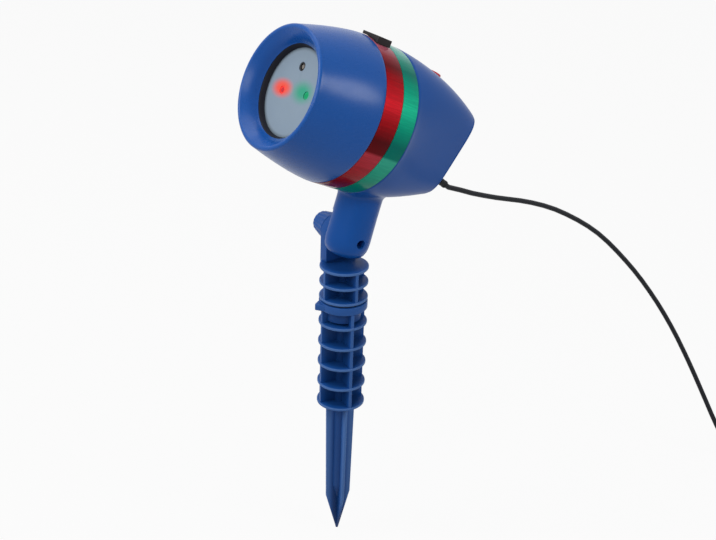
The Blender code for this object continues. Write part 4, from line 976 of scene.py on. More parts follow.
    @staticmethod
    def _place_ring(piece: Piece, ring: Sequence[Vector]) -> None:
        """Move the selected ring of vertices to its points.

        Args:
            piece: The mesh, in edit mode.
            ring: The points in millimetres, by the vertices' numbers.
        """
        edit = bmesh.from_edit_mesh(piece.data)
        spot = edit.verts.layers.int["spot"]
        for vert in edit.verts:
            if vert.select:
                vert.co = ring[vert[spot]] * MM
        bmesh.update_edit_mesh(piece.data)

    @staticmethod
    def apply(piece: Piece, modifier: bpy.types.Modifier) -> None:
        """Apply one modifier."""
        Bench.only(piece)
        bpy.ops.object.modifier_apply(modifier=modifier.name)

    @staticmethod
    def soften(piece: Piece, width: float, segments: int = 3, angle: float = 40.0) -> None:
        """Round the edges that are sharper than an angle.

        Args:
            piece: The mesh.
            width: Width of the rounding in millimetres.
            segments: Number of faces across it.
            angle: Least angle of an edge that is rounded.
        """
        made = piece.modifiers.new("rounding", "BEVEL")
        made.width = width * MM
        made.segments = segments
        made.limit_method = "ANGLE"
        made.angle_limit = math.radians(angle)
        made.use_clamp_overlap = True
        Bench.apply(piece, made)

    @staticmethod
    def combine(piece: Piece, other: Piece, operation: str = "DIFFERENCE") -> None:
        """Cut or join a mesh with another, which is used up.

        Args:
            piece: The mesh that stays.
            other: The mesh that cuts it.
            operation: The Boolean modifier's operation.
        """
        made = piece.modifiers.new("combine", "BOOLEAN")
        made.operation = operation
        made.object = other
        made.solver = "EXACT"
        Bench.apply(piece, made)
        bpy.data.objects.remove(other, do_unlink=True)

    @staticmethod
    def rod(name: str, radius: float, low: float, high: float, steps: int, matrix: Matrix) -> Piece:
        """Return a plain cutter along a frame's Z.

        Args:
            name: The new object's name.
            radius: Its radius in millimetres.
            low: Where it starts.
            high: Where it ends.
            steps: Number of its sides.
            matrix: Its frame.

        Returns:
            The cutter.
        """
        made = Bench.start(
            bpy.ops.mesh.primitive_cylinder_add,
            name,
            vertices=steps,
            radius=radius * MM,
            depth=(high - low) * MM,
            location=(0, 0, (high + low) / 2 * MM),
        )
        bpy.ops.object.transform_apply(location=True, rotation=True, scale=True)
        made.data.transform(matrix)
        return made

    @staticmethod
    def block(name: str, size: Triple, centre: Triple = (0.0, 0.0, 0.0)) -> Piece:
        """Return a box.

        Args:
            name: The new object's name.
            size: Its size in millimetres.
            centre: Its middle.

        Returns:
            The box.
        """
        made = Bench.start(bpy.ops.mesh.primitive_cube_add, name, size=1.0)
        bpy.ops.object.mode_set(mode="EDIT")
        bpy.ops.transform.resize(value=Vector(size) * MM)
        bpy.ops.transform.translate(value=Vector(centre) * MM)
        bpy.ops.object.mode_set(mode="OBJECT")
        return made

    @staticmethod
    def settle(piece: Piece, matrix: Matrix = HOME, angle: float = 30.0) -> Piece:
        """Put a mesh in its frame and shade it.

        Args:
            piece: The mesh, at the origin.
            matrix: The frame that it goes to.
            angle: Edges sharper than this many degrees stay sharp.

        Returns:
            The same object.
        """
        Bench.only(piece)
        bpy.ops.object.transform_apply(location=True, rotation=True, scale=True)
        piece.data.transform(matrix)
        bpy.ops.object.shade_smooth_by_angle(angle=math.radians(angle))
        return piece

    @staticmethod
    def join(name: str, pieces: Sequence[Piece]) -> Piece:
        """Join meshes into one object.

        Args:
            name: Its name.
            pieces: The meshes; the first one stays.

        Returns:
            The joined object.
        """
        bpy.ops.object.select_all(action="DESELECT")
        for piece in pieces:
            piece.select_set(True)
        bpy.context.view_layer.objects.active = pieces[0]
        bpy.ops.object.join()
        pieces[0].name = name
        pieces[0].data.name = name
        return pieces[0]

    @staticmethod
    def copy(piece: Piece, name: str, matrix: Matrix) -> Piece:
        """Copy a piece with its own mesh and move the copy.

        Args:
            piece: The piece.
            name: The copy's name.
            matrix: How the copy is moved.

        Returns:
            The copy.
        """
        Bench.only(piece)
        bpy.ops.object.duplicate(linked=False)
        made = bpy.context.active_object
        made.name = name
        made.data.name = name
        made.data.transform(matrix)
        return made

    @staticmethod
    def hand_over(
        piece: Piece, material: bpy.types.Material, body: Body, slot: Slot, *nodes: str
    ) -> Piece:
        """Dress a piece, let it ride on its body and hide the CAD nodes that it stands for.

        Args:
            piece: The finished mesh.
            material: Its finish.
            body: The body that it rides on.
            slot: A material slot of the imported record; not used.
            nodes: CAD nodes that it replaces.

        Returns:
            The same object.
        """
        piece.data.materials.clear()
        piece.data.materials.append(material)
        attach(piece, body.value)
        if nodes:
            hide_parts(*nodes)
        LOG.info("%s: %d faces", piece.name, len(piece.data.polygons))
        return piece


def arc(centre: Span, radius: float, start: float, end: float, steps: int) -> list[Span]:
    """Return points along an arc.

    Args:
        centre: Its centre.
        radius: Its radius.
        start: First angle in degrees.
        end: Last angle in degrees.
        steps: Number of steps.

    Returns:
        The points, both ends included.
    """
    angles = [math.radians(start + (end - start) * i / steps) for i in range(steps + 1)]
    return [(centre[0] + radius * math.cos(a), centre[1] + radius * math.sin(a)) for a in angles]


def round_angles(count: int, first: float = 0.0) -> list[float]:
    """Return even angles round a circle, the first one at a share of a step."""
    return [2 * math.pi * (i + first) / count for i in range(count)]


def polar(radius: float, angle: float, height: float) -> Vector:
    """Return the place at a radius, an angle and a height."""
    return Vector((radius * math.cos(angle), radius * math.sin(angle), height))


def rounded_square(wide: float, high: float, power: float, count: int) -> list[Span]:
    """Return points round a superellipse.

    Args:
        wide: Half its width.
        high: Half its height.
        power: 1 for an ellipse, less for squarer.
        count: Number of points.

    Returns:
        The points.
    """
    points = []
    for angle in round_angles(count, 0.5):
        c, s = math.cos(angle), math.sin(angle)
        x, y = (math.copysign(abs(share) ** power, share) for share in (c, s))
        points.append((wide * x, high * y))
    return points


def eased_share(value: float) -> float:
    """Return a value held between 0 and 1, on a smooth step."""
    share = min(1.0, max(0.0, value))
    return share * share * (3 - 2 * share)


@dataclass(frozen=True)
class SoftBox:
    """Area lamp that looks at the head: place and size in metres, power in watts."""

    name: str
    place: Triple
    size: Span
    watts: float

    def hang(self, target: Vector) -> None:
        """Hang the lamp.

        Args:
            target: What it looks at.
        """
        bpy.ops.object.select_all(action="DESELECT")
        bpy.ops.object.light_add(type="AREA")
        lamp = bpy.context.active_object
        lamp.name = self.name
        lamp.data.shape = "RECTANGLE"
        lamp.data.size, lamp.data.size_y = self.size
        lamp.data.energy = self.watts
        place = Vector(self.place)
        aim = (place - target).to_track_quat("Z", "Y").to_matrix().to_4x4()
        lamp.matrix_world = Matrix.Translation(place) @ aim


@dataclass
class Studio:
    """Pale floor, plain soft lamps and the camera at the photograph's angle."""

    lens: float = 65.98
    sensor: float = 36.0
    clip: Span = (0.05, 30.0)
    place: Triple = (674.04, -464.33, 592.79)
    azimuth: float = 54.77
    elevation: float = 24.83
    roll: float = 1.94
    head: Triple = (0.0, 0.0, 0.32)
    boxes: tuple[SoftBox, ...] = (
        SoftBox("right_box", (0.64, -1.25, 1.1), (0.7, 0.7), 7.4),
        SoftBox("back_box", (1.12, 0.6, 0.92), (0.55, 0.5), 6.8),
        SoftBox("top_box", (-0.45, -0.1, 1.6), (1.0, 1.0), 6.2),
        SoftBox("left_box", (-0.5, -1.25, 1.2), (0.7, 0.7), 10.4),
    )
    ambient: float = 0.16
    ambient_colour: Rgb = (0.94, 0.97, 1.0)
    floor_size: float = 14.0
    floor_base: float = 0.48
    floor_rough: float = 0.9
    floor_glow: float = 0.94

    def set_camera(self) -> None:
        """Put up the camera."""
        bpy.ops.object.select_all(action="DESELECT")
        bpy.ops.object.camera_add()
        camera = bpy.context.active_object
        camera.name = "studio_camera"
        az, el, roll = (math.radians(v) for v in (self.azimuth, self.elevation, self.roll))
        back = Vector((math.sin(az) * math.cos(el), -math.cos(az) * math.cos(el), math.sin(el)))
        right = Vector((math.cos(az), math.sin(az), 0.0))
        up = back.cross(right)
        across = right * math.cos(roll) + up * math.sin(roll)
        upward = up * math.cos(roll) - right * math.sin(roll)
        turned = Matrix((across, upward, back)).transposed().to_4x4()
        camera.matrix_world = Matrix.Translation(Vector(self.place) * MM) @ turned
        camera.data.lens = self.lens
        camera.data.sensor_width = self.sensor
        camera.data.sensor_fit = "HORIZONTAL"
        camera.data.dof.use_dof = False
        camera.data.clip_start, camera.data.clip_end = self.clip
        bpy.context.scene.camera = camera

    def set_world(self) -> None:
        """White where it is seen or mirrored, and soft grey light elsewhere."""
        world = bpy.data.worlds.new("studio_world")
        bpy.context.scene.world = world
        world.use_nodes = True
        nodes, links = world.node_tree.nodes, world.node_tree.links
        seen = nodes["Background"]
        seen.inputs["Color"].default_value = WHITE
        light = nodes.new("ShaderNodeBackground")
        light.inputs["Color"].default_value = (*self.ambient_colour, 1.0)
        light.inputs["Strength"].default_value = self.ambient
        mix = nodes.new("ShaderNodeMixShader")
        self._seen_rays(world.node_tree, mix.inputs[0])
        links.new(light.outputs[0], mix.inputs[1])
        links.new(seen.outputs[0], mix.inputs[2])
        links.new(mix.outputs[0], nodes["World Output"].inputs[0])

    @staticmethod
    def _seen_rays(tree: bpy.types.NodeTree, socket: bpy.types.NodeSocket) -> None:
        """Feed a socket with 1 for camera, glossy and transmission rays.

        Args:
            tree: The node tree.
            socket: The input that is fed.
        """
        path = tree.nodes.new("ShaderNodeLightPath")
        value = path.outputs["Is Camera Ray"]
        for name in ("Is Glossy Ray", "Is Transmission Ray"):
            either = tree.nodes.new("ShaderNodeMath")
            either.operation = "MAXIMUM"
            tree.links.new(value, either.inputs[0])
            tree.links.new(path.outputs[name], either.inputs[1])
            value = either.outputs[0]
        tree.links.new(value, socket)

    def set_floor(self) -> None:
        """Lay the floor, which keeps the object's shadow."""
        floor = Bench.start(bpy.ops.mesh.primitive_plane_add, "studio_floor", size=self.floor_size)
        material = bpy.data.materials.new("floor_pale")
        material.use_nodes = True
        tree = material.node_tree
        shader = tree.nodes["Principled BSDF"]
        shader.inputs["Base Color"].default_value = (*[self.floor_base] * 3, 1.0)
        shader.inputs["Roughness"].default_value = self.floor_rough
        glow = tree.nodes.new("ShaderNodeEmission")
        glow.inputs["Color"].default_value = WHITE
        mix = tree.nodes.new("ShaderNodeMixShader")
        self._seen_rays(tree, mix.inputs[0])
        part = tree.nodes.new("ShaderNodeMixShader")
        part.inputs[0].default_value = self.floor_glow
        tree.links.new(shader.outputs[0], part.inputs[1])
        tree.links.new(glow.outputs[0], part.inputs[2])
        tree.links.new(shader.outputs[0], mix.inputs[1])
        tree.links.new(part.outputs[0], mix.inputs[2])
        tree.links.new(mix.outputs[0], tree.nodes["Material Output"].inputs[0])
        floor.data.materials.append(material)

    def build(self) -> None:
        """Put up the whole studio."""
        self.set_camera()
        self.set_world()
        for box in self.boxes:
            box.hang(Vector(self.head))
        self.set_floor()
        bpy.context.scene.view_settings.view_transform = "Standard"
        LOG.info("studio is up")


@dataclass
class Assembly:
    """Sub-assembly of the projector with the finishes that dress it."""

    looks: Finishes


@dataclass
class PowerCord(Assembly):
    """Cord from the strain relief to the floor, its coil with the tie, and the adapter."""

    radius: float = 1.9
    lift: float = 0.05
    gap: float = 0.3
    relief_length: float = 30.0
    knots: tuple[Triple, ...] = (
        (0.0, 92.5, 256.1), (0.0, 102.2, 251.9), (0.0, 112.4, 247.8), (0.0, 134.0, 240.4),
        (1.0, 167.0, 230.4), (4.5, 197.0, 217.5), (12.0, 230.0, 196.0), (22.5, 259.0, 166.0),
        (33.5, 279.0, 138.0), (45.0, 293.5, 111.0), (57.0, 305.0, 83.0), (68.5, 314.5, 56.0),
        (79.5, 322.0, 32.0), (89.0, 327.6, 15.0), (96.8, 330.9, 5.6),
    )
    steady_knot: int = 9
    spacing: float = 12.0
    entry: Span = (112.0, 334.0)
    heading: float = 10.0
    layers: int = 4
    turns: int = 4
    steps: int = 24
    last_steps: int = 8
    pitch: float = 4.25
    layer_pitch: float = 4.3
    outer: float = 29.4
    tail: float = 13.0
    plug_depth: float = 3.0
    tie_width: float = 7.0
    tie_thickness: float = 1.2
    tie_play: float = 0.5
    tie_angle: float = 115.0
    adapter_relief: float = 16.0
    adapter_length: float = 58.0
    adapter_width: float = 42.0
    adapter_height: float = 30.0
    corner: float = 5.0
    edge: float = 0.9
    seam_height: float = 19.0
    seam_half: float = 0.45
    seam_depth: float = 0.5
    blade_share: float = 0.6
    blade_spacing: float = 12.7
    blade_length: float = 17.0
    blade_width: float = 6.3
    blade_thickness: float = 1.5
    blade_root: float = 4.0
    blade_tip: tuple[Span, Span] = ((0.0, 2.4), (1.4, 0.0))
    blade_eye: Span = (1.5, 4.4)
    path: list[Vector] = field(default_factory=list)

    def _along(self, heading: float) -> Vector:
        """Return the level direction of a heading in degrees."""
        angle = math.radians(heading)
        return Vector((math.cos(angle), math.sin(angle), 0.0))

    @property
    def tail_heading(self) -> float:
        """Heading of the tail, in degrees."""
        return self.heading + 360.0 * self.last_steps / self.steps

    @staticmethod
    def _smooth(knots: Sequence[Vector], spacing: float, fineness: int = 24) -> list[Vector]:
        """Return evenly spaced points on a Catmull-Rom curve.

        Args:
            knots: Points that the curve passes.
            spacing: Wanted distance between the points.
            fineness: Number of steps from knot to knot before they are spaced.

        Returns:
            The points in millimetres.
        """
        ends = [2 * knots[0] - knots[1], *knots, 2 * knots[-1] - knots[-2]]
        dense = []
        for p0, p1, p2, p3 in zip(ends, ends[1:], ends[2:], ends[3:]):
            for i in range(fineness):
                t = i / fineness
                square, cube = 2 * p0 - 5 * p1 + 4 * p2 - p3, 3 * p1 - p0 - 3 * p2 + p3
                dense.append(0.5 * (2 * p1 + (p2 - p0) * t + (square * t**2 + cube * t**3)))
        dense.append(ends[-2])
        lengths = [0.0]
        for a, b in zip(dense, dense[1:]):
            lengths.append(lengths[-1] + (b - a).length)
        count = max(2, round(lengths[-1] / spacing))
        points = []
        at = 0
        for i in range(count + 1):
            wanted = lengths[-1] * i / count
            while at < len(lengths) - 2 and lengths[at + 1] < wanted:
                at += 1
            share = (wanted - lengths[at]) / (lengths[at + 1] - lengths[at])
            points.append(dense[at].lerp(dense[at + 1], share))
        return points

    def _coil(self, entry: Vector) -> tuple[Vector, list[Vector]]:
        """Return the coil's turns, which go in and out in layers.

        Args:
            entry: Where the cord comes in.

        Returns:
            The coil's centre and the points of its turns.
        """
        angle = math.radians(self.heading)
        centre = entry + Vector((-math.sin(angle), math.cos(angle), 0.0)) * self.outer
        span = self.pitch * self.turns
        points = []
        for i in range(self.layers * self.turns * self.steps + self.last_steps + 1):
            done = i / self.steps
            beyond = max(0.0, done - self.layers * self.turns)
            within = (done - beyond) % (2 * self.turns)
            radius = self.outer - span * (1 - abs(1 - within / self.turns)) + self.pitch * beyond
            layers = range(1, self.layers)
            climb = sum(eased_share((done - layer * self.turns) / 0.5 + 0.5) for layer in layers)
            around = angle - math.pi / 2 + 2 * math.pi * done
            points.append(centre + polar(radius, around, climb * self.layer_pitch))
        return centre, points

    def route(self) -> tuple[Vector, Vector]:
        """Work out the whole path.

        Returns:
            The coil's centre and the cord's far end, in millimetres.
        """
        tip = COVER_FRAME @ (Vector((0, RELIEF_DOWN, self.relief_length)) * MM) / MM
        out = (COVER_FRAME.to_3x3() @ Vector((0, 0, 1))).normalized()
        entry = Vector((*self.entry, self.radius + self.lift))
        ahead = self._along(self.heading)
        away = self._along(self.tail_heading)
        straight = 2 * self.radius
        start = tip + out * self.gap
        coil_start = entry - ahead * straight
        stretch_end = coil_start - ahead * self.gap
        first, last = start + out * straight, stretch_end - ahead * straight
        knots = [first, *(Vector(knot) for knot in self.knots), last]
        centre, turns = self._coil(entry)
        coil_end = turns[-1] + away * straight
        end = coil_end + away * (self.gap + self.tail)
        self.path = [start, *self._smooth(knots, self.spacing), coil_start, *turns]
        into_case = end + away * (self.adapter_relief + self.plug_depth)
        self.path += [coil_end, coil_end.lerp(end, 0.35), coil_end.lerp(end, 0.7), end, into_case]
        return centre, end

    def _tube(self) -> Piece:
        """Return the cord as a mesh tube along the path.

        Returns:
            The tube.
        """
        bpy.ops.object.select_all(action="DESELECT")
        bpy.ops.curve.primitive_nurbs_path_add()
        made = bpy.context.active_object
        made.name = "cord"
        curve = made.data
        curve.splines.clear()
        curve.dimensions = "3D"
        curve.bevel_depth = self.radius * MM
        curve.bevel_resolution = 4
        curve.use_fill_caps = True
        spline = curve.splines.new("POLY")
        spline.points.add(len(self.path) - 1)
        for target, point in zip(spline.points, self.path):
            target.co = (*(point * MM), 1.0)
        bpy.ops.object.convert(target="MESH")
        made = bpy.context.active_object
        made.data.name = "cord"
        return Bench.settle(made, HOME, 60.0)

    def _tie(self, centre: Vector) -> Piece:
        """Return the strap over the coil's bundle.

        Args:
            centre: The coil's centre.

        Returns:
            The strap.
        """
        inner = self.outer - self.pitch * self.turns - self.radius - self.tie_play
        outer = self.outer + self.radius + self.tie_play
        top = (self.layers - 1) * self.layer_pitch + 2 * self.radius + self.tie_play
        thick = self.tie_thickness
        outline = [
            (inner - thick, self.lift), (inner, self.lift), (inner, top), (outer, top),
            (outer, self.lift), (outer + thick, self.lift), (outer + thick, top + thick),
            (inner - thick, top + thick),
        ]
        half = self.tie_width / 2
        strap = Bench.slab("cord_strap", outline, -half, half, "Y", 0.35)
        place = shift(centre.x, centre.y, 0.0) @ turn(self.tie_angle, "Z")
        return Bench.settle(strap, place, 35.0)

    def _adapter_relief(self, place: Matrix) -> Piece:
        """Return the ribbed sleeve where the cord goes into the adapter.

        Args:
            place: The adapter's frame.

        Returns:
            The sleeve.
        """
        ribs = [(0.0, 0.0), (self.radius + 0.5, 0.0)]
        for i in range(4):
            low = 1.5 + i * 3.4
            wide = 2.6 + 0.33 * (i + 1)
            narrow = wide - 0.35
            ribs += [(narrow, low - 0.6), (wide, low), (wide, low + 1.7), (narrow, low + 2.3)]
        ribs += [(4.0, 15.4), (4.0, self.adapter_relief), (0.0, self.adapter_relief)]
        return Bench.spun("adapter_cord_relief", ribs, 32, place @ turn(90.0, "Y"))

    def _adapter_case(self, place: Matrix, floor: float) -> Piece:
        """Return the adapter's case with round corners and the seam of its two halves.

        Args:
            place: The adapter's frame.
            floor: Height of its underside there.

        Returns:
            The case.
        """
        size = (self.adapter_length, self.adapter_width, self.adapter_height)
        front = self.adapter_relief + self.gap
        centre = (front + self.adapter_length / 2, 0.0, floor + self.adapter_height / 2)
        case = Bench.block("adapter_case", size, centre)
        bpy.ops.object.mode_set(mode="EDIT")
        bpy.ops.mesh.select_mode(type="EDGE")
        edit = bmesh.from_edit_mesh(case.data)
        for edge in edit.edges:
            rise = abs((edge.verts[0].co - edge.verts[1].co).z)
            edge.select_set(rise > 0.5 * self.adapter_height * MM)
        bmesh.update_edit_mesh(case.data)
        bpy.ops.mesh.bevel(offset=self.corner * MM, segments=6, affect="EDGES")
        seam = (floor + self.seam_height) * MM
        for height in (seam - self.seam_half * MM, seam + self.seam_half * MM):
            bpy.ops.mesh.select_all(action="SELECT")
            bpy.ops.mesh.bisect(plane_co=(0, 0, height), plane_no=(0, 0, 1))
        bpy.ops.mesh.select_mode(type="FACE")
        edit = bmesh.from_edit_mesh(case.data)
        for face in edit.faces:
            side = abs(face.normal.z) < 0.5
            near = abs(face.calc_center_median().z - seam) < self.seam_half * MM
            face.select_set(side and near)
        bmesh.update_edit_mesh(case.data)
        bpy.ops.mesh.extrude_region_shrink_fatten(
            TRANSFORM_OT_shrink_fatten={"value": -self.seam_depth * MM}
        )
        bpy.ops.mesh.select_mode(type="VERT")
        bpy.ops.object.mode_set(mode="OBJECT")
        Bench.soften(case, self.edge, 3, 60.0)
        return Bench.settle(case, place, 35.0)

    def _blade(self, side: str, middle: float, place: Matrix, top: float) -> Piece:
        """Return one blade of the adapter, with its eye.

        Args:
            side: Left or right.
            middle: Where it stands across the adapter.
            place: The adapter's frame.
            top: Height of the case's top there.

        Returns:
            The blade.
        """
        along = self.adapter_relief + self.gap + self.adapter_length * self.blade_share
        tip = top + self.blade_length
        half, root = self.blade_width / 2, top - self.blade_root
        right = [(half - x, tip - z) for x, z in self.blade_tip]
        left = [(-x, z) for x, z in reversed(right)]
        outline = [(along + x, z) for x, z in [(-half, root), (half, root), *right, *left]]
        thick = self.blade_thickness / 2
        blade = Bench.slab(f"blade_{side}", outline, middle - thick, middle + thick, "Y", 0.25)
        radius, down = self.blade_eye
        hole = shift(along, 0.0, tip - down) @ turn(90.0, "X")
        reach = self.adapter_width / 2
        Bench.combine(blade, Bench.rod("blade_eye", radius, -reach, reach, 24, hole))
        return Bench.settle(blade, place, 35.0)

    def _adapter(self, end: Vector) -> list[Piece]:
        """Build the adapter's case, relief and blades.

        Args:
            end: The cord's far end.

        Returns:
            The pieces that lie on the cord.
        """
        start = end + self._along(self.tail_heading) * self.gap
        place = shift(*start) @ turn(self.tail_heading, "Z")
        floor = self.lift - start.z
        relief = self._adapter_relief(place)
        case = self._adapter_case(place, floor)
        pieces = [relief, case]
        for side, sign in (("left", 1), ("right", -1)):
            middle = sign * self.blade_spacing / 2
            blade = self._blade(side, middle, place, floor + self.adapter_height)
            name = f"adapter_blade_{side}"
            Bench.hand_over(blade, self.looks.steel, Body.UPPER, Slot.STEEL, name)
            pieces.append(blade)
        Bench.hand_over(relief, self.looks.rubber, Body.UPPER, Slot.RUBBER, "adapter_relief")
        Bench.hand_over(case, self.looks.plastic, Body.UPPER, Slot.PLASTIC, "adapter_body")
        return pieces

    def build(self) -> None:
        """Build the cord with all that lies on it."""
        centre, end = self.route()
        cord = self._tube()
        tie = self._tie(centre)
        Bench.hand_over(tie, self.looks.rubber, Body.UPPER, Slot.RUBBER, "cord_tie")
        pieces = [tie, *self._adapter(end)]
        cord.data.materials.clear()
        cord.data.materials.append(self.looks.jacket)
        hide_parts("cord_stretch", "cord_coil", "cord_tail")
        self.path[0] * MM
        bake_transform(cord)
        length = sum((b - a).length for a, b in zip(self.path, self.path[1:])) * MM
        self.path[0] * MM
        [point * MM for point in self.path]
        LOG.info("cord: %.3f m, %d points", length, len(self.path))


@dataclass
class FrontCase(Assembly):
    """Barrel with its rolled rim and the hood that leads in to the apertures."""

    band_radius: float = BAND_RADIUS
    length: float = 46.4
    rim_radius: float = 39.3
    rounding: float = 1.9
    power: float = 1.4
    foot: float = 0.3
    foot_edge: float = 0.75
    foot_inset: float = 3.0
    hood_radius: float = 30.9
    hood_edge: float = 36.8
    hood_sag: float = 0.55
    pocket_radius: float = 33.8
    pocket_depth: float = 10.2
    wall: float = 2.2
    step_height: float = 7.5
    step_inset: float = 3.3
    wall_top: float = 3.4
    steps: int = 144

    def outer(self, height: float) -> float:
        """Return the barrel's outer radius at a height.

        Args:
            height: Height above the bands.

        Returns:
            The radius in millimetres.
        """
        share = max(0.0, height) / (self.length - self.rounding)
        narrowing = self.band_radius - self.rim_radius - self.rounding
        return self.band_radius - narrowing * share**self.power

    def build(self) -> None:
        """Build the barrel."""
        rim = self.length - self.rounding
        first, edge = self.foot, self.foot_edge
        profile = [(self.band_radius - self.foot_inset, first)]
        profile += [(self.outer(first) - 0.45, first), (self.outer(0.4) - 0.12, 0.42)]
        profile += [(self.outer(h), h) for h in [edge + (rim - edge) * i / 30 for i in range(31)]]
        profile += arc((self.rim_radius, rim), self.rounding, 18.0, 138.0, 14)
        start = profile[-1]
        end = (self.hood_radius + 0.35, self.hood_edge + 0.45)
        for i in range(1, 9):
            t = i / 8
            sag = self.hood_sag * math.sin(math.pi * t)
            radius = start[0] + (end[0] - start[0]) * t - sag
            profile.append((radius, start[1] + (end[1] - start[1]) * t + 0.6 * sag))
        profile += [(self.hood_radius + 0.08, self.hood_edge + 0.12)]
        profile += [(self.hood_radius, self.hood_edge), (self.pocket_radius, self.hood_edge)]
        floor = self.hood_edge - self.pocket_depth
        pocket = self.pocket_radius + self.wall
        profile += [(self.pocket_radius, floor), (pocket, floor), (pocket, self.hood_edge + 0.8)]
        top, step = self.hood_edge + self.wall_top, self.step_height
        heights = [top + (step - top) * i / 6 for i in range(7)]
        profile += [(self.outer(h) - self.wall, h) for h in heights]
        inside = self.band_radius - self.step_inset
        profile += [(inside, step), (inside, first)]
        barrel = Bench.spun("barrel", profile, self.steps, OPTICAL_FRAME, 40.0)
        Bench.hand_over(barrel, self.looks.case, Body.HEAD, Slot.CASE, "front_housing")


@dataclass
class Apertures(Assembly):
    """Grey plate with the light cell and the two laser lenses, behind its gasket."""

    plate_radius: float = 33.5
    front: float = 32.8
    thickness: float = 2.5
    laser_radius: float = 2.6
    cell_y: float = 17.1
    cell_radius: float = 3.0
    edge: float = 0.18
    gasket: Profile = (
        (30.88, 36.45), (30.5, 36.1), (29.85, 34.2), (29.3, 33.35), (29.4, 33.12), (33.5, 33.1),
        (33.5, 36.5), (31.2, 36.5),
    )
    dome: Profile = ((2.45, 32.3), (2.3, 32.5), (1.8, 32.58), (1.0, 32.54), (0, 32.52))
    bezel: Profile = ((1.75, 32.2), (1.85, 32.5), (2.25, 32.72), (2.65, 32.68), (2.85, 32.4))
    cell: Profile = (
        (0, 28.6), (1.65, 28.6), (1.65, 31.7), (1.45, 32.0), (0.9, 32.2), (0, 32.28),
    )

    def _plate(self, back: float) -> Piece:
        """Return the plate with its three holes.

        Args:
            back: Height of its back.

        Returns:
            The plate.
        """
        wide, front = self.plate_radius, self.front
        disc = [(0, back), (wide, back), (wide, front), (0, front)]
        plate = Bench.spun("plate", disc, 96, PLATE_FRAME)
        holes = [(0, self.cell_y, self.cell_radius)]
        holes += [(-LASER_X, 0, self.laser_radius), (LASER_X, 0, self.laser_radius)]
        for x, y, radius in holes:
            place = PLATE_FRAME @ shift(x, y, 0)
            Bench.combine(plate, Bench.rod("plate_hole", radius, back - 1, front + 1, 40, place))
        Bench.soften(plate, self.edge, 2, 50.0)
        return Bench.settle(plate)

    def build(self) -> None:
        """Build the plate and what sits in it."""
        back = self.front - self.thickness
        plate = self._plate(back)
        Bench.hand_over(plate, self.looks.plate, Body.HEAD, Slot.PLATE, "aperture_plate")
        ring = Bench.spun("plate_gasket", self.gasket, 144, PLATE_FRAME)
        Bench.hand_over(ring, self.looks.gasket, Body.HEAD, Slot.RUBBER, "window_gasket")
        foot = [(0, back + 0.3), (2.4, back + 0.3), (2.45, back + 0.5)]
        for colour, x, material, slot in (
            ("red", -LASER_X, self.looks.red_lens, Slot.RED_LENS),
            ("green", LASER_X, self.looks.green_lens, Slot.GREEN_LENS),
        ):
            place = PLATE_FRAME @ shift(x, 0, 0)
            lens = Bench.spun(f"{colour}_lens_dome", [*foot, *self.dome], 40, place, 60.0)
            Bench.hand_over(lens, material, Body.HEAD, slot, f"{colour}_aperture_lens")
        place = PLATE_FRAME @ shift(0, self.cell_y, 0)
        first, last = self.bezel[0][0], self.bezel[-1][0]
        bezel = Bench.spun("cell_bezel", [(first, back), *self.bezel, (last, back)], 40, place)
        Bench.hand_over(bezel, self.looks.plastic, Body.HEAD, Slot.PLASTIC, "light_cell_bezel")
        cell = Bench.spun("cell_dome", self.cell, 32, place, 60.0)
        Bench.hand_over(cell, self.looks.cell, Body.HEAD, Slot.CELL, "light_cell")


@dataclass
class Bands(Assembly):
    """The two glossy colour bands and the black window strip on top of them."""

    radius: float = BAND_RADIUS
    wall: float = 3.3
    rounding: float = 0.45
    red: Span = (0.0, 14.6)
    green: Span = (-14.9, 13.0)
    strip: Profile = ((-1.5, 45.0), (16.0, 45.0), (16.0, 52.7), (-1.5, 52.7))
    strip_span: Span = (-12.3, -0.8)
    strip_edge: float = 0.7
    steps: int = 180

    def _band(self, name: str, front: float, width: float) -> Piece:
        """Return one band with rounded edges.

        Args:
            name: Its name.
            front: Height of its front edge.
            width: Its width.

        Returns:
            The band.
        """
        back = front - width
        inner = self.radius - self.wall
        r = self.rounding
        profile = [(inner, back), (self.radius - r, back)]
        profile += arc((self.radius - r, back + r), r, -90.0, 0.0, 4)[1:]
        profile += [(self.radius, front - r)]
        profile += arc((self.radius - r, front - r), r, 0.0, 90.0, 4)[1:]
        profile += [(inner, front)]
        return Bench.spun(name, profile, self.steps, OPTICAL_FRAME, 40.0)

    def build(self) -> None:
        """Build bands and window strip."""
        red = self._band("red_ring", *self.red)
        Bench.hand_over(red, self.looks.red, Body.HEAD, Slot.RED, "red_band")
        green = self._band("green_ring", *self.green)
        Bench.hand_over(green, self.looks.green, Body.HEAD, Slot.GREEN, "green_band")
        low, high = self.strip_span
        strip = Bench.slab("window_strip", self.strip, low, high, "Z", 0.0)
        Bench.combine(strip, Bench.rod("strip_saddle", self.radius + 0.3, -14.0, 1.0, 180, HOME))
        Bench.soften(strip, self.strip_edge, 4, 50.0)
        Bench.settle(strip, OPTICAL_FRAME)
        Bench.hand_over(strip, self.looks.window, Body.HEAD, Slot.PLASTIC, "top_window")


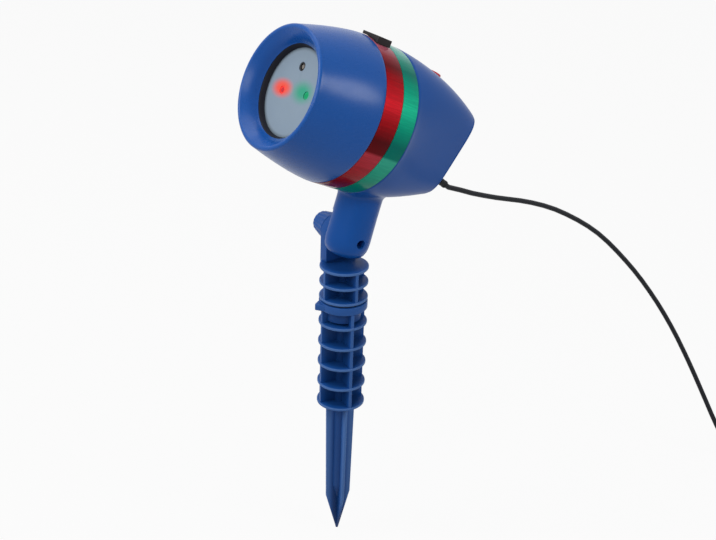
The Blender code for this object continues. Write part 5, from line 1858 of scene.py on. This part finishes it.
@dataclass
class RearCase(Assembly):
    """Rear casing that turns from round into a rounded square, with its neck, cover and button."""

    band_radius: float = BAND_RADIUS
    half_width: float = 27.3
    half_height: float = 32.35
    squareness: float = 4.9
    drop_power: float = 2.1
    width_power: float = 0.8
    height_power: float = 1.46
    wall: float = 2.4
    end_share: float = (REAR_LENGTH - 1.8 - 0.3) / REAR_LENGTH
    stations: int = 30
    points: int = 144
    button_hole: float = 4.8
    neck_radius: float = 15.7
    neck_waist: float = 15.4
    neck_waist_level: float = 18.0
    neck_end: float = 13.4
    neck_dome: Profile = (
        (1.0, 0.04), (0.985, 0.3), (0.93, 0.55), (0.83, 0.75), (0.68, 0.88), (0.48, 0.955),
        (0.25, 0.99), (0.0, 1.0),
    )
    neck_roof: Profile = ((0.995, 0.5), (0.7, 0.6), (0.4, 0.6), (0.04, 0.6))
    fillet: float = 5.5
    fillet_steps: int = 12
    fillet_run: float = 9.0
    neck_points: int = 96
    lap: Span = (-6.2, 14.3)
    lap_size: float = 40.0
    stud_hole: float = 3.2
    nut_flats: float = 8.6
    nut_floor: float = -1.6
    cover_rows: Profile = (
        (2.7, -4.8), (2.7, -1.8), (0.35, -1.8), (0.08, -1.65), (0.0, -1.4), (0.0, -0.75),
        (0.08, -0.42), (0.3, -0.16), (0.62, -0.03), (1.0, 0.0), (3.4, 0.0), (3.55, -0.1),
        (3.7, -0.3), (4.0, -0.4),
    )
    screw_x: float = 17.5
    screw_y: float = 22.5
    screw_well: float = 2.8
    screw_turn: float = 25.0
    screw_head: Profile = (
        (0, -1.75), (2.3, -1.75), (2.5, -1.55), (2.5, -0.95), (2.35, -0.65), (1.9, -0.4),
        (1.2, -0.26), (0, -0.2),
    )
    recess: Triple = (2.9, 0.7, 1.6)
    relief_hole: float = 4.4
    relief_foot: Profile = (
        (0, -6.6), (6.4, -6.6), (6.4, -5.1), (4.1, -5.1), (4.1, 1.8), (3.95, 2.1),
    )
    relief_tip: Profile = ((2.6, 28.2), (2.7, 28.6), (2.7, 29.6), (2.5, 30.0), (0, 30.0))
    relief_rings: int = 5
    button: Profile = (
        (0, -11.0), (4.5, -11.0), (4.5, -1.1), (4.42, -0.75), (4.2, -0.45), (3.7, -0.2),
        (2.6, -0.06), (0, 0),
    )

    def ring(self, share: float, inset: float = 0.0) -> list[Vector]:
        """Return a cross-section in the optical frame, from the bands (0) to the cover (1).

        Args:
            share: Place along the casing.
            inset: How far the section is drawn in.

        Returns:
            The section's points in millimetres.
        """
        tilt = math.radians(COVER_LEAN) * share
        shrink, flatten = share**self.width_power, share**self.height_power
        wide = self.band_radius + (self.half_width - self.band_radius) * shrink - inset
        high = self.band_radius + (self.half_height - self.band_radius) * flatten - inset
        power = 2 / (2 + (self.squareness - 2) * share)
        centre = -COVER_DROP * share**self.drop_power
        back = REAR_FRONT - REAR_LENGTH * share
        return [
            Vector((x, centre + up * math.cos(tilt), back - up * math.sin(tilt)))
            for x, up in rounded_square(wide, high, power, self.points)
        ]

    def _shell(self) -> Piece:
        """Return the casing's wall with its button hole.

        Returns:
            The wall.
        """
        rings = [self.ring(0.0, 0.4), self.ring(0.008)]
        stations = range(1, self.stations + 1)
        rings += [self.ring(self.end_share * i / self.stations) for i in stations]
        rings.append(self.ring(self.end_share + 0.002, 0.5))
        shell = Bench.lofted("rear_case", rings, HOME, (False, False))
        wall = shell.modifiers.new("wall", "SOLIDIFY")
        wall.thickness = self.wall * MM
        wall.offset = -1.0
        Bench.apply(shell, wall)
        shell.data.transform(OPTICAL_FRAME)
        hole = Bench.rod("button_hole", self.button_hole, -12.0, 14.5, 48, BUTTON_FRAME)
        Bench.combine(shell, hole)
        return Bench.settle(shell, HOME, 40.0)

    def _ceiling(self) -> BVHTree:
        """Return the surface that the neck grows out of, in the neck's frame and in metres.

        Returns:
            The surface, ready for rays.
        """
        rows = []
        for height in (20.0, REAR_FRONT + 0.05):
            angles = round_angles(self.points, 0.5)
            rows.append([polar(self.band_radius + 0.3, angle, height) for angle in angles])
        rows += [self.ring(self.end_share * i / 60) for i in range(61)]
        to_neck = NECK_FRAME.inverted() @ OPTICAL_FRAME
        verts = [to_neck @ (p * MM) for row in rows for p in row]
        faces = []
        n = self.points
        for k in range(len(rows) - 1):
            for i in range(n):
                j = (i + 1) % n
                faces.append((k * n + i, k * n + j, (k + 1) * n + j, (k + 1) * n + i))
        return BVHTree.FromPolygons(verts, faces)

    def _neck(self) -> Piece:
        """Return the round neck with its soft root, flat lap, hole and nut pocket.

        Returns:
            The neck.
        """
        ceiling = self._ceiling()
        to_optical = OPTICAL_FRAME.inverted() @ NECK_FRAME

        def height(radius: float, angle: float) -> Span:
            """Return the ceiling's height and how far behind the bands it is met.

            Args:
                radius: Distance from the neck's axis.
                angle: Angle round it.

            Returns:
                Height and distance in millimetres.
            """
            hit = ceiling.ray_cast(polar(radius, angle, 0.0) * MM, Vector((0, 0, 1)))[0]
            if hit is None:
                return 45.0, 0.0
            return hit.z / MM, REAR_FRONT - (to_optical @ hit).z / MM

        angles = round_angles(self.neck_points)
        behinds = [height(self.neck_waist, angle)[1] for angle in angles]
        fillets = [self.fillet * eased_share(behind / self.fillet_run) for behind in behinds]
        around = list(zip(angles, fillets))
        rings = []
        for depth, share in self.neck_dome:
            rings.append([(self.neck_radius * share, a, -self.neck_end * depth) for a in angles])
        for part in (1 / 3, 2 / 3, 1.0):
            radius = self.neck_radius - (self.neck_radius - self.neck_waist) * part
            rings.append([(radius, a, self.neck_waist_level * part) for a in angles])
        for j in range(self.fillet_steps + 1):
            bend = math.pi / 2 * j / self.fillet_steps
            row = []
            for a, fillet in around:
                radius = self.neck_waist + fillet * (1 - math.cos(bend))
                row.append((radius, a, height(radius, a)[0] - fillet * (1 - math.sin(bend))))
            rings.append(row)
        for share, sink in self.neck_roof:
            row = []
            for a, fillet in around:
                radius = (self.neck_waist + (fillet if share > 0.9 else 0.0)) * share
                level, behind = height(radius, a)
                row.append((radius, a, level + (sink if behind > 0.3 else 0.0)))
            rings.append(row)
        points = [[polar(*spot) for spot in row] for row in rings]
        neck = Bench.lofted("neck", points, NECK_FRAME, (True, True))
        reach = self.lap_size
        left, top = self.lap
        middle = (left - reach / 2, 0.0, top - reach / 2)
        lap = Bench.block("lap", (reach, 2 * reach, reach), middle)
        lap.data.transform(TILT_FRAME)
        Bench.combine(neck, lap)
        across = TILT_FRAME @ turn(90.0, "Y")
        Bench.combine(neck, Bench.rod("neck_hole", self.stud_hole, -reach, reach, 48, across))
        corner = self.nut_flats / math.sqrt(3)
        Bench.combine(neck, Bench.rod("nut_pocket", corner, -reach, self.nut_floor, 6, across))
        Bench.soften(neck, 0.35, 2, 50.0)
        return Bench.settle(neck, HOME, 40.0)

    def _screws(self) -> None:
        """Build the cover's four screws from one."""
        screw = Bench.spun("screw", self.screw_head, 32, HOME, 50.0)
        for angle in (0.0, 90.0):
            slot = Bench.block("recess", self.recess)
            bpy.ops.object.mode_set(mode="EDIT")
            bpy.ops.transform.rotate(
                value=math.radians(angle), orient_axis="Z", center_override=(0, 0, 0)
            )
            bpy.ops.object.mode_set(mode="OBJECT")
            Bench.combine(screw, slot)
        for i, (x, y) in enumerate(((1, 1), (-1, 1), (-1, -1), (1, -1)), 1):
            place = COVER_FRAME @ shift(x * self.screw_x, y * self.screw_y, 0)
            place = place @ turn(self.screw_turn * i, "Z")
            made = Bench.settle(Bench.copy(screw, f"back_screw_{i}", place))
            Bench.hand_over(made, self.looks.steel, Body.HEAD, Slot.STEEL, f"cover_screw_{i}")
        bpy.data.objects.remove(screw, do_unlink=True)

    def _cover(self) -> None:
        """Build the cover with its screws and the strain relief."""
        rows = []
        for inset, level in self.cover_rows:
            wide, high = self.half_width - inset, self.half_height - inset
            outline = rounded_square(wide, high, 2 / self.squareness, self.points)
            rows.append([Vector((x, y, level)) for x, y in outline])
        cover = Bench.lofted("back_cover", rows, COVER_FRAME, (True, True), 30.0)
        for x, y in ((1, 1), (1, -1), (-1, 1), (-1, -1)):
            place = COVER_FRAME @ shift(x * self.screw_x, y * self.screw_y, 0)
            Bench.combine(cover, Bench.rod("screw_well", self.screw_well, -2.1, 1.0, 40, place))
        middle = COVER_FRAME @ shift(0, RELIEF_DOWN, 0)
        Bench.combine(cover, Bench.rod("relief_hole", self.relief_hole, -7.0, 1.0, 48, middle))
        Bench.settle(cover)
        Bench.hand_over(cover, self.looks.rear, Body.HEAD, Slot.CASE, "rear_cover")
        self._screws()
        profile = [*self.relief_foot]
        for i in range(self.relief_rings):
            low = 3.0 + 5.0 * i
            wide = 4.1 - 1.4 * (i + 1) / self.relief_rings
            profile += [(wide - 0.55, low - 0.6), (wide - 0.55, low), (wide, low + 0.25)]
            profile += [(wide, low + 2.9), (wide - 0.15, low + 3.2)]
        profile += self.relief_tip
        relief = Bench.spun("back_strain_relief", profile, 48, middle, 40.0)
        Bench.hand_over(relief, self.looks.rubber, Body.HEAD, Slot.RUBBER, "cord_strain_relief")

    def build(self) -> None:
        """Build the whole rear of the head."""
        rear = Bench.join("rear_case", [self._shell(), self._neck()])
        Bench.hand_over(rear, self.looks.rear, Body.HEAD, Slot.CASE, "rear_housing")
        self._cover()
        button = Bench.spun("button_cap", self.button, 48, BUTTON_FRAME, 50.0)
        Bench.hand_over(button, self.looks.button, Body.BUTTON, Slot.RED, "mode_button")


@dataclass
class TiltKnob(Assembly):
    """Tapered clamping knob with flutes all round."""

    base: float = 16.4
    length: float = 16.6
    base_radius: float = 10.0
    end_radius: float = 7.9
    foot: Profile = ((0.0, 1.9), (2.0, 1.9), (2.1, 0.4), (2.5, 0.0))
    flutes: int = 16
    depth: float = 0.45
    groove_power: float = 1.6
    per_flute: int = 8
    bore: float = 2.7
    bore_depth: float = 10.0

    def _levels(self) -> list[Triple]:
        """Return height, radius and depth of the flutes at each ring.

        Returns:
            The rings from the foot to the sunk end.
        """
        base, end, top = self.base_radius, self.end_radius, self.length
        return [
            *[(level, base - inset, 0.0) for level, inset in self.foot],
            (3.1, base - 0.05, 0.2), (4.2, base - 0.2, 1.0), (top * 0.55, base - 0.8, 1.0),
            (top - 1.9, end, 1.0), (top - 1.1, end - 0.12, 0.7), (top - 0.5, end - 0.45, 0.3),
            (top - 0.12, end - 1.0, 0.0), (top, end - 1.6, 0.0), (top, end - 3.0, 0.0),
            (top - 0.35, end - 3.4, 0.0), (top - 0.5, end - 4.0, 0.0),
        ]

    def build(self) -> None:
        """Build the knob."""
        rings = []
        for level, radius, share in self._levels():
            row = []
            for angle in round_angles(self.flutes * self.per_flute):
                groove = (0.5 - 0.5 * math.cos(self.flutes * angle)) ** self.groove_power
                cut = radius - self.depth * share * groove
                row.append(polar(cut, angle, self.base + level))
            rings.append(row)
        knob = Bench.lofted("knob", rings, KNOB_FRAME, (True, True))
        low, high = self.base - 1.0, self.base + self.bore_depth
        Bench.combine(knob, Bench.rod("knob_bore", self.bore, low, high, 32, KNOB_FRAME))
        Bench.settle(knob, HOME, 40.0)
        Bench.hand_over(knob, self.looks.stake, Body.KNOB, Slot.STAKE, "tilt_knob")


@dataclass
class Stake(Assembly):
    """The two ribbed halves of the ground stake."""

    disc_radius: float = 17.0
    disc_thickness: float = 1.9
    rib_thickness: float = 2.4
    spike_thickness: float = 1.8
    rib_radius: float = 16.3
    core_radius: float = 5.0
    rounding: float = 0.5
    spike_length: float = 111.9
    spike_tip: float = 31.0
    spike_widths: Triple = (0.6, 9.5, 11.1)
    core_tip: Span = (1.0, 4.0)
    core_rise: float = 9.0
    core_top: float = 178.0
    lower_discs: int = 5
    lower_pitch: float = 15.88
    flange_bottom: float = 186.5
    flange_top: float = 192.1
    boss_radius: float = 12.5
    boss_length: float = 8.5
    lug: Profile = ((-7.5, -13.6), (-0.9, -20.9), (0.0, -21.5), (0.9, -20.9), (7.5, -13.6))
    peg_radius: float = 8.0
    peg: Span = (179.3, 193.6)
    peg_edge: float = 0.5
    upper_low: float = 194.5
    upper_discs: int = 3
    upper_pitch: float = 11.38
    strap_span: Span = (-15.0, -7.4)
    strap_foot: Span = (-10.0, 15.0)
    strap_round: float = 17.9
    eye_radius: float = 12.5
    eye_hole: float = 2.7
    strap_edge: float = 0.8
    steps: int = 96

    def _discs(self, name: str, levels: Sequence[float], matrix: Matrix) -> list[Piece]:
        """Return discs with rounded edges, all copies of the first.

        Args:
            name: Start of their names.
            levels: Heights of their middles.
            matrix: Their frame.

        Returns:
            The discs.
        """
        level, half = levels[0], self.disc_thickness / 2
        r = self.rounding
        profile = [(0, level - half), (self.disc_radius - r, level - half)]
        profile += arc((self.disc_radius - r, level - half + r), r, -90, 0, 3)[1:]
        profile += arc((self.disc_radius - r, level + half - r), r, 0, 90, 3)
        profile += [(0, level + half)]
        discs = [Bench.spun(name, profile, self.steps, matrix, 40.0)]
        for i, other in enumerate(levels[1:], 1):
            discs.append(Bench.copy(discs[0], f"{name}_{i}", shift(0, 0, other - level)))
        return discs

    def _ribs(
        self, name: str, outline: Profile, thickness: float, bevel: float, matrix: Matrix
    ) -> list[Piece]:
        """Return two crossing ribs of one outline.

        Args:
            name: Start of their names.
            outline: Half outline, radius and height, from the bottom up.
            thickness: Their thickness.
            bevel: Rounding of the edges.
            matrix: Their frame.

        Returns:
            The two ribs.
        """
        whole = [*outline, *[(-r, h) for r, h in reversed(outline)]]
        half = thickness / 2
        first = Bench.slab(f"{name}_a", whole, -half, half, "Y", bevel)
        second = Bench.copy(first, f"{name}_b", turn(90.0, "Z"))
        return [Bench.settle(rib, matrix) for rib in (first, second)]

    def lower(self) -> None:
        """Build the lower half."""
        levels = [self.spike_length + i * self.lower_pitch for i in range(self.lower_discs)]
        pieces = self._discs("lower_disc", levels, STAKE_FRAME)
        narrow, down = self.core_tip
        tip = self.spike_tip
        core = [(0, tip - down), (narrow, tip - down), (self.core_radius, tip + self.core_rise)]
        core += [(self.core_radius, self.core_top), (0, self.core_top)]
        pieces.append(Bench.spun("lower_core", core, 48, STAKE_FRAME))
        spike = list(zip(self.spike_widths, (0.0, tip, self.spike_length)))
        pieces += self._ribs("spike", spike, self.spike_thickness, 0.35, STAKE_FRAME)
        bottom, top, r = self.flange_bottom, self.flange_top, self.rounding
        body = [(self.rib_radius, self.spike_length), (self.rib_radius, bottom + 0.5)]
        pieces += self._ribs("lower_rib", body, self.rib_thickness, 0.3, STAKE_FRAME)
        bore, boss, foot = self.peg_radius + 0.3, self.boss_radius, bottom - self.boss_length
        flange = [(bore, foot), (boss - 0.4, foot), (boss, foot + 0.4), (boss, bottom)]
        edge = self.disc_radius - r
        flange += [(edge, bottom), *arc((edge, bottom + r), r, -90, 0, 3)[1:]]
        flange += [*arc((edge, top - r), r, 0, 90, 3), (bore + 0.4, top), (bore, top - 0.4)]
        pieces.append(Bench.spun("flange", flange, self.steps, STAKE_FRAME, 40.0))
        lug = Bench.slab("lug", self.lug, bottom + 0.5, top - 0.5, "Z", 0.5)
        pieces.append(Bench.settle(lug, STAKE_FRAME))
        stake = Bench.join("ground_stake", pieces)
        Bench.hand_over(stake, self.looks.stake, Body.LOWER, Slot.STAKE, "lower_stake")

    def upper(self) -> None:
        """Build the upper half with its strap."""
        levels = [self.upper_low + i * self.upper_pitch for i in range(self.upper_discs)]
        top = levels[-1]
        pieces = self._discs("upper_disc", levels, HOME)
        low, high = self.peg
        wide, narrow, edge = self.peg_radius, self.core_radius, self.peg_edge
        core = [(0, low), (wide - edge, low), (wide, low + edge), (wide, high)]
        core += [(narrow, high), (narrow, top), (0, top)]
        pieces.append(Bench.spun("upper_core", core, 48, HOME))
        body = [(self.rib_radius, levels[0]), (self.rib_radius, top)]
        pieces += self._ribs("upper_rib", body, self.rib_thickness, 0.3, HOME)
        eye = arc((PIVOT.y, PIVOT.z), self.eye_radius, 0.0, 180.0, 40)
        back, front = self.strap_foot
        left, right = self.strap_span
        strap = Bench.slab("strap", [(front, top), *eye, (back, top)], left, right, "X", 0.0)
        trim = Bench.rod("strap_round", self.strap_round, 0.0, PIVOT.z + 40.0, self.steps, HOME)
        Bench.combine(strap, trim, "INTERSECT")
        Bench.combine(strap, Bench.rod("strap_hole", self.eye_hole, 0.0, 30.0, 40, KNOB_FRAME))
        Bench.soften(strap, self.strap_edge, 4, 50.0)
        pieces.append(Bench.settle(strap))
        stake = Bench.join("stake_head", pieces)
        Bench.hand_over(stake, self.looks.stake, Body.UPPER, Slot.STAKE, "upper_stake")

    def build(self) -> None:
        """Build both halves."""
        self.lower()
        self.upper()


@dataclass
class HiddenWorks(Assembly):
    """CAD nodes that keep their shape and get a better finish."""

    def build(self) -> None:
        """Dress the nodes."""
        dressed = (
            (self.looks.plastic, ("plate_retaining_ring", "core_sleeve", "switch_plunger")),
            # The knob washer is steel but takes black plastic as painted shade in the gap between
            # strap and knob.
            (self.looks.plastic, ("mode_switch", "knob_washer", "pivot_washer", "swivel_washer")),
            (self.looks.glass, ("red_star_grating", "green_star_grating")),
            (self.looks.brass, ("red_laser_module", "green_laser_module")),
            (self.looks.jacket, ("red_laser_lead", "green_laser_lead", "inner_lead")),
            (self.looks.aluminium, ("laser_mount",)),
            (self.looks.board, ("control_board",)),
            (self.looks.rubber, ("front_seal_ring", "rear_seal_ring")),
            (self.looks.steel, ("laser_mount_screw_1", "laser_mount_screw_2", "knob_stud")),
            (self.looks.steel, ("board_screw_1", "board_screw_2", "board_screw_3", "pivot_nut")),
        )
        for material, names in dressed:
            for name in names:
                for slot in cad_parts[name].material_slots:
                    slot.material = material
            LOG.info("%s: %s", material.name, ", ".join(names))


def main() -> None:
    """Build the studio and the projector in order."""
    Studio().build()
    looks = Finishes()
    head = (FrontCase, Apertures, Bands, RearCase)
    for assembly in (PowerCord, *head, TiltKnob, Stake, HiddenWorks):
        LOG.info("building %s", assembly.__name__)
        assembly(looks).build()


if __name__ == "__main__":
    main()
